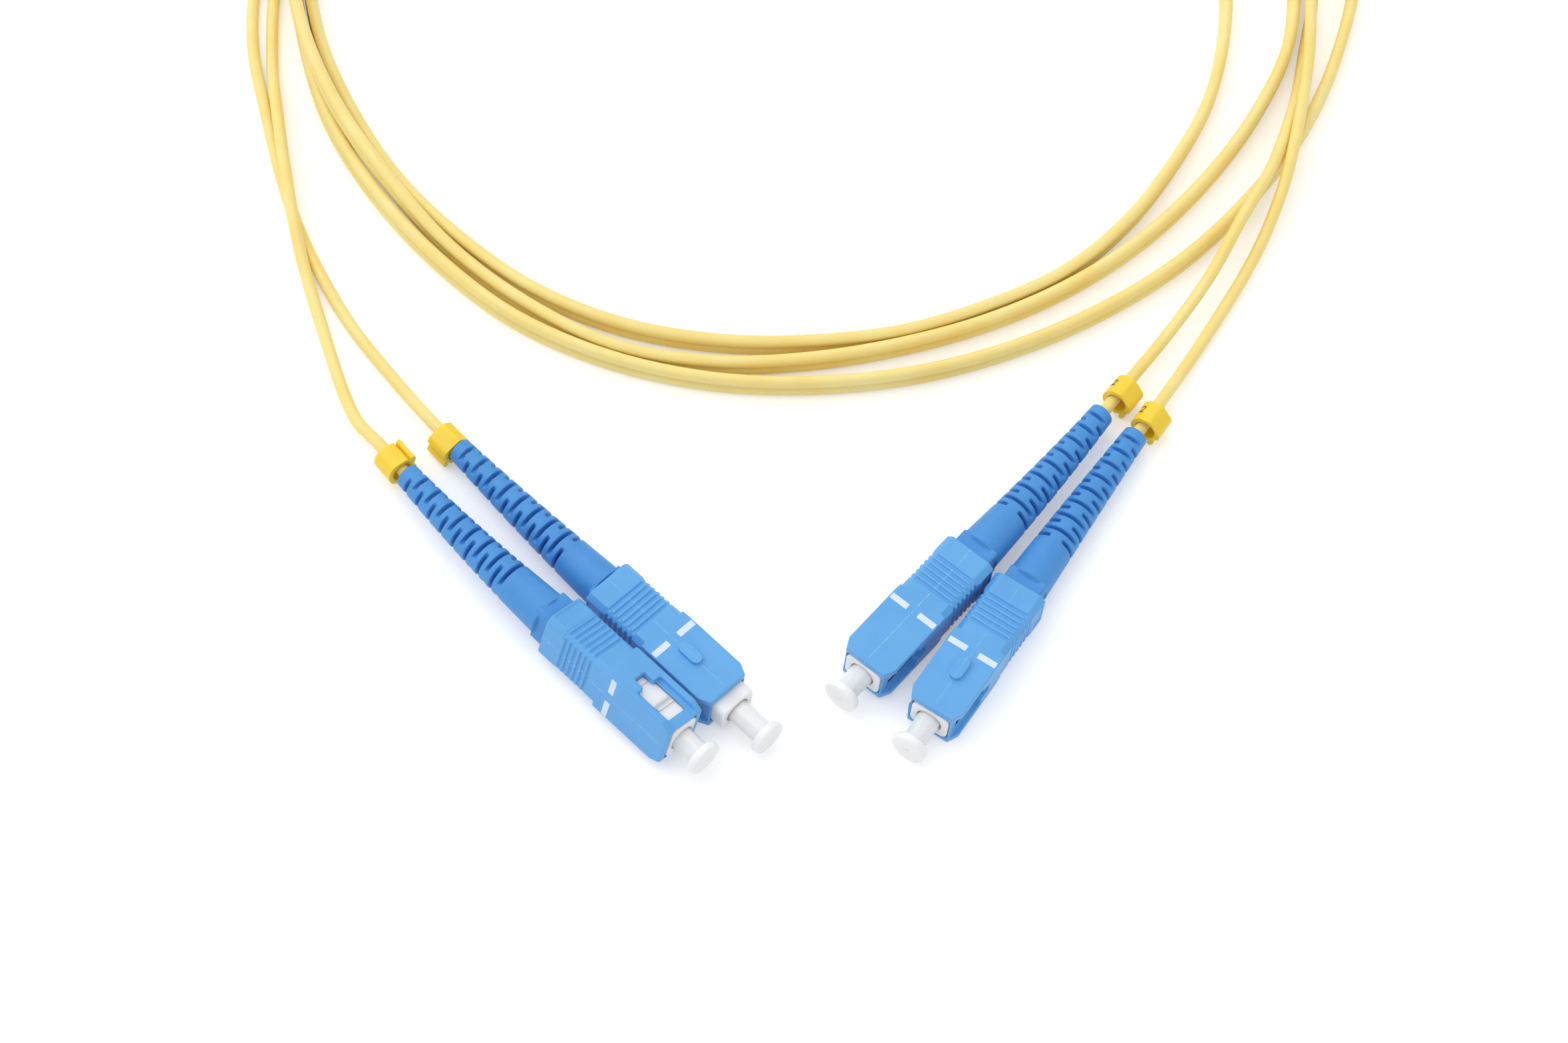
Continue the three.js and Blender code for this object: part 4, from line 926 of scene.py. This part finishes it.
for letter in CONNECTORS:
    radius, rear = FERRULE / 2, FERRULE_TIP - FERRULE_LENGTH
    ferrule = turned_mesh(f"ceramic_ferrule_{letter}", letter, [
        (rear, CORE / 2), (rear, radius), (FERRULE_TIP - 0.3, radius), (FERRULE_TIP, radius - 0.32),
        (FERRULE_TIP + 0.02, CORE / 2)], ease=0.05)
    seat = radius + 0.1
    flange = turned_mesh(f"turned_flange_{letter}", letter, [
        (collar_rear - TAIL_LENGTH, FIBRE_BORE / 2), (collar_rear - TAIL_LENGTH, TAIL / 2),
        (collar_rear, TAIL / 2), (collar_rear, COLLAR / 2), (COLLAR_FRONT, COLLAR / 2),
        (COLLAR_FRONT, seat), (rear - 0.2, seat), (rear - 0.2, FIBRE_BORE / 2)])
    barrel_front, guide = collar_rear - SPRING_ROOM, TAIL / 2 + SEAT
    rear_body = turned_mesh(f"turned_rear_body_{letter}", letter, [
        (tail_end, BUFFER), (tail_end, CRIMP_TAIL / 2), (tail_front, CRIMP_TAIL / 2),
        (tail_front, REAR_SHOULDER / 2), (shoulder_front, REAR_SHOULDER / 2),
        (shoulder_front, REAR_BARREL / 2), (barrel_front, REAR_BARREL / 2), (barrel_front, guide),
        (shoulder_front, guide), (tail_front, BUFFER)],
        sides=72, waves=(0.05, 24, tail_end + 0.3, tail_front - 0.3, CRIMP_TAIL / 2 - 0.1))
    wide, neck = CRIMP_TAIL / 2 + SEAT, STRAND / 2 + 0.2
    step = tail_end - 2 * SEAT
    crimp_end = step - CRIMP_NECK_LENGTH
    crimp = turned_mesh(f"crimped_sleeve_{letter}", letter, [
        (crimp_end, neck), (crimp_end, neck + CRIMP_WALL), (step - CRIMP_WALL, neck + CRIMP_WALL),
        (step, wide + CRIMP_WALL), (tail_front - SEAT, wide + CRIMP_WALL),
        (tail_front - SEAT, wide), (step, wide), (step - CRIMP_WALL, neck)],
        sides=72, waves=(0.04, 6, step + 0.4, tail_front - 0.6, wide + 0.2))
    buffered = turned_mesh(f"buffered_fibre_{letter}", letter, [
        (tail_end, CORE / 2), (tail_end, BUFFER / 2), (BUFFER_FRONT, BUFFER / 2),
        (BUFFER_FRONT, CORE / 2)], sides=24)
    for mesh, body, replaced, finish, slot in (
            (ferrule, f"ferrule_assembly_{letter}", "ferrule", zirconia_finish, "zirconia"),
            (flange, f"ferrule_assembly_{letter}", "ferrule_flange", flange_finish, "plated_flange"),
            (spring_mesh(letter), "cord", "spring", wire_finish, "spring_wire"),
            (rear_body, "cord", "rear_body", body_finish, "plated_rear_body"),
            (crimp, "cord", "crimp_ring", crimp_finish, "crimp_brass"),
            (buffered, "cord", "fibre_buffer", buffer_finish, "white_buffer")):
        piece = add_piece(mesh, finish, body, f"{replaced}_{letter}")

# ------------------------
# Dust caps. A blind tube of milky soft plastic is pushed over each ferrule; it has shallow flutes,
# and a thick round disc with a dimple to pull it by.
# ------------------------
CAP_TUBE = 3.8
CAP_LENGTH = 7.6
CAP_DISC = 5.8
CAP_DISC_THICKNESS = 1.1
CAP_DOME = 0.55
CAP_BORE = FERRULE + 0.2
CAP_SIDES = 96
FLUTES = 8
FLUTE_DEPTH = 0.035
CAP_WHITE = (248, 249, 252)
CAP_SHADE = (241, 243, 247)


def cap_mesh(letter):
    """Turned about the axis: up the tube, over the disc's round rim, and in across a low dome with a
    dimple at its middle, then back down the bore. The tube's radius ripples slightly in flutes."""
    middle = CONNECTORS[letter]["cap_disc"]
    back, front = middle - CAP_DISC_THICKNESS / 2, middle + CAP_DISC_THICKNESS / 2
    rear = front - CAP_LENGTH
    rim = CAP_DISC_THICKNESS / 2 + 0.15
    turn = np.linspace(-np.pi / 2, np.pi / 2, 9)
    face = np.linspace(1, 0, 12)[1:]
    dome = front + 0.3 + (CAP_DOME - 0.3) * (1 - face ** 2) - 0.22 * np.exp(-(face / 0.28) ** 2)
    tube = CAP_TUBE / 2
    profile = np.vstack([
        [(rear, tube - 0.15), (rear + 0.15, tube), (rear + 2.5, tube), (back - 0.3, tube),
         (back - 0.08, tube + 0.06), (back, tube + 0.25)],
        np.column_stack([middle + 0.15 + rim * np.sin(turn),
                         CAP_DISC / 2 - 0.35 + 0.35 * np.sqrt(np.cos(turn).clip(0, 1))]),
        np.column_stack([dome, face * (CAP_DISC / 2 - 0.42) + 0.01]),
        [(back + 0.1, 0.01), (back + 0.1, CAP_BORE / 2 - 0.2), (back - 0.1, CAP_BORE / 2),
         (rear + 0.2, CAP_BORE / 2), (rear, CAP_BORE / 2 + 0.1), (rear, tube - 0.15)]])
    angle = angles_round(CAP_SIDES)
    fluted = (profile[:, 1] > CAP_BORE / 2 + 0.2) & (profile[:, 0] < back - 0.2)
    radius = profile[:, 1:2] - fluted[:, None] * FLUTE_DEPTH * (1 + np.cos(FLUTES * angle))[None, :]
    rings = round_rings(profile[:, 0], radius, angle)
    return closed_skin(f"pull_cap_{letter}", laid(letter, rings), loop=True)


cap_finish = finish_from("milky_cap", moulded_skin, CAP_WHITE, CAP_SHADE, {
    "Cloud size": 500.0, "Grain share": 0.2, "Gloss": 0.22, "Dull": 0.38},
    Subsurface_Weight=0.6, Subsurface_Scale=0.001, Subsurface_Radius=(1.0, 1.0, 1.0))
for letter in CONNECTORS:
    cap = add_piece(cap_mesh(letter), cap_finish, f"cap_{letter}", f"dust_cap_{letter}")

# ------------------------
# Marker clips. A yellow plastic ring with wide flats is snapped round each leg; one end of it turns
# back outside the slit as a hooked bar, and the clips on two legs carry a printed digit.
# ------------------------
RING_LENGTH = 4.1
RING_OUTSIDE = 5.15
RING_INSIDE = 3.5
RING_SLIT = 0.4
RING_EDGE = 0.12
CLIP_YELLOW = (254, 219, 62)
CLIP_SHADE = (250, 208, 48)
DIGIT_BLACK = (38, 36, 34)
DIGIT_SHADE = (24, 23, 22)
DIGIT_LINE = [(-0.36, 0.36), (-0.3, 0.52), (-0.12, 0.64), (0.1, 0.64), (0.29, 0.54), (0.37, 0.37),
              (0.34, 0.18), (0.22, 0.0), (0.05, -0.17), (-0.17, -0.36), (-0.38, -0.6), (0.0, -0.6),
              (0.42, -0.6)]
DIGIT_STROKE = 0.2
DIGIT_PROUD = 0.02
DIGIT_SINK = 0.03
DIGIT_PLACE = (0.2, -0.18)
DIGIT_FLAT = (180.0, 209.0)


def clip_outline():
    """The ring's section, with its slit towards the first axis: the hooked end, the flats between
    corners on the outer circle, the round back, the plain end, and the bore's circle."""
    outer, inner, slit = RING_OUTSIDE / 2, RING_INSIDE / 2, RING_SLIT / 2
    corner = np.radians([57, 112, 135, 150, 165, 180, 209, 252, 322])
    hook = [(inner, slit), (outer - 0.5, slit), (outer + 0.05, 0.7), (outer + 0.25, 1.45),
            (outer + 0.05, 2.0), (outer - 0.5, 2.05), (outer - 0.7, 1.55), (outer - 0.75, 1.15)]
    flats = np.column_stack([np.cos(corner), np.sin(corner)]) * outer
    plain = [(outer - 0.1, -1.0), (outer, -0.6), (outer - 0.15, -slit), (inner, -slit)]
    ease = [0.08, 0.2, 0.3, 0.25, 0.22, 0.25, 0.2, 0.12,
            0.25, 0.45, 0.25, 0.2, 0.2, 0.25, 0.35, 0.4, 0.4, 0.2, 0.15, 0.15, 0.08]
    outline = eased(np.vstack([hook, flats, plain]), ease)
    turn = np.radians(np.linspace(-14, -346, 33))
    return np.vstack([outline, np.column_stack([np.cos(turn), np.sin(turn)]) * inner])


def on_clip(letter, points):
    """Points along the leg towards its boot, towards the slit and across, put at the clip."""
    start, away = clip_line(letter)
    ahead = -away
    left = np.cross([0.0, 0.0, 1.0], ahead)
    left /= np.linalg.norm(left)
    up = np.cross(ahead, left)
    left_hang, up_hang = CONNECTORS[letter]["hang"]
    middle = start + away * CONNECTORS[letter]["seat"] + left * left_hang + up * up_hang
    turned = math.radians(CONNECTORS[letter]["latch"])
    slit_way = math.cos(turned) * left + math.sin(turned) * up
    across = -math.sin(turned) * left + math.cos(turned) * up
    end_for_end = -1 if CONNECTORS[letter]["digit"] else 1
    axes = np.stack([end_for_end * ahead, slit_way, end_for_end * across])
    return middle + np.asarray(points, dtype=float) @ axes


def digit_mesh(letter):
    """A digit's line drawn as a flat ribbon with a little thickness, wrapped on the ring's flat
    opposite the slit: its height runs along the leg and its width round the ring."""
    line = np.array(DIGIT_LINE) + [DIGIT_PLACE[1], DIGIT_PLACE[0]]
    way = np.gradient(line, axis=0)
    way /= np.linalg.norm(way, axis=1)[:, None]
    side = np.column_stack([-way[:, 1], way[:, 0]]) * DIGIT_STROKE / 2
    angle = math.radians(sum(DIGIT_FLAT) / 2)
    half = math.radians(DIGIT_FLAT[1] - DIGIT_FLAT[0]) / 2
    outward = np.array([math.cos(angle), math.sin(angle)])
    round_way = np.array([-math.sin(angle), math.cos(angle)])
    base = RING_OUTSIDE / 2 * math.cos(half)
    rings = [np.column_stack([flat[:, 1], outward * (base + high) + round_way * flat[:, :1]])
             for flat, high in ((line + side, -DIGIT_SINK), (line + side, DIGIT_PROUD),
                                (line - side, DIGIT_PROUD), (line - side, -DIGIT_SINK))]
    return closed_skin(f"printed_digit_{letter}", on_clip(letter, np.stack(rings, axis=1)))


clip_finish = finish_from(
    "yellow_clip", moulded_skin, CLIP_YELLOW, CLIP_SHADE, {"Gloss": 0.28, "Dull": 0.4},
    Subsurface_Weight=0.35, Subsurface_Scale=0.001, Subsurface_Radius=(1.0, 0.65, 0.15))
digit_finish = finish_from("black_digit", moulded_skin, DIGIT_BLACK, DIGIT_SHADE,
                           {"Cloud size": 1500.0})
outline = clip_outline()
for letter in CONNECTORS:
    rings = np.stack([np.column_stack([np.full(len(outline), x), outline])
                      for x in (-RING_LENGTH / 2, 0.0, RING_LENGTH / 2)])
    clip = add_piece(closed_skin(f"marker_ring_{letter}", on_clip(letter, rings)), clip_finish,
                     f"clip_{letter}", f"marker_clip_{letter}")
    soften = clip.modifiers.new("rounded_ends", "BEVEL")
    soften.limit_method = "ANGLE"
    soften.angle_limit = math.radians(60)
    soften.width = RING_EDGE * MM
    soften.segments = 3
    soften.harden_normals = True
    if CONNECTORS[letter]["digit"]:
        add_piece(digit_mesh(letter), digit_finish, f"clip_{letter}")
    path = leg_paths[letter]

# ------------------------
# Table and light. A white table under a broad soft lamp and an even white sky.
# ------------------------
TABLE_HALF = 3000.0
TABLE_SHINE = 0.3  # so that the table stays white to the camera
LAMP_POWER = 1.0
LAMP_SPREAD = math.radians(70)
LAMP_TURN = (math.radians(-21), math.radians(-28), 0)
SKY_STRENGTH = 0.76
corners = np.array([[-1, -1, 0], [1, -1, 0], [1, 1, 0], [-1, 1, 0]]) * [TABLE_HALF, TABLE_HALF, 0]
table_mesh = bpy.data.meshes.new("table")
table_mesh.from_pydata((corners * MM).tolist(), [], [[0, 1, 2, 3]])
table = linked("table", table_mesh)
white = bpy.data.materials.new("white_table")
white.use_nodes = True
tree = white.node_tree
shader = tree.nodes["Principled BSDF"]
shader.inputs["Base Color"].default_value = (0.9, 0.9, 0.9, 1)
shader.inputs["Roughness"].default_value = 0.9
shader.inputs["Specular IOR Level"].default_value = 0.1
rays = node(tree, "LightPath")
seen = node(tree, "Math", {0: rays["Is Camera Ray"], 1: rays["Is Glossy Ray"]}, operation="MAXIMUM")
shine = node(tree, "Math", {0: seen["Value"], 1: TABLE_SHINE}, operation="MULTIPLY")
shader.inputs["Emission Color"].default_value = (1, 1, 1, 1)
tree.links.new(shine["Value"], shader.inputs["Emission Strength"])
table_mesh.materials.append(white)

lamp = bpy.data.lights.new("soft_lamp", "SUN")
lamp.energy = LAMP_POWER
lamp.angle = LAMP_SPREAD
lamp_object = linked("soft_lamp", lamp)
lamp_object.rotation_euler = LAMP_TURN
world = bpy.data.worlds.new("white_sky")
world.use_nodes = True
world.node_tree.nodes["Background"].inputs["Color"].default_value = (1, 1, 1, 1)
world.node_tree.nodes["Background"].inputs["Strength"].default_value = SKY_STRENGTH
bpy.context.scene.world = world
bpy.context.scene.view_settings.view_transform = "Standard"
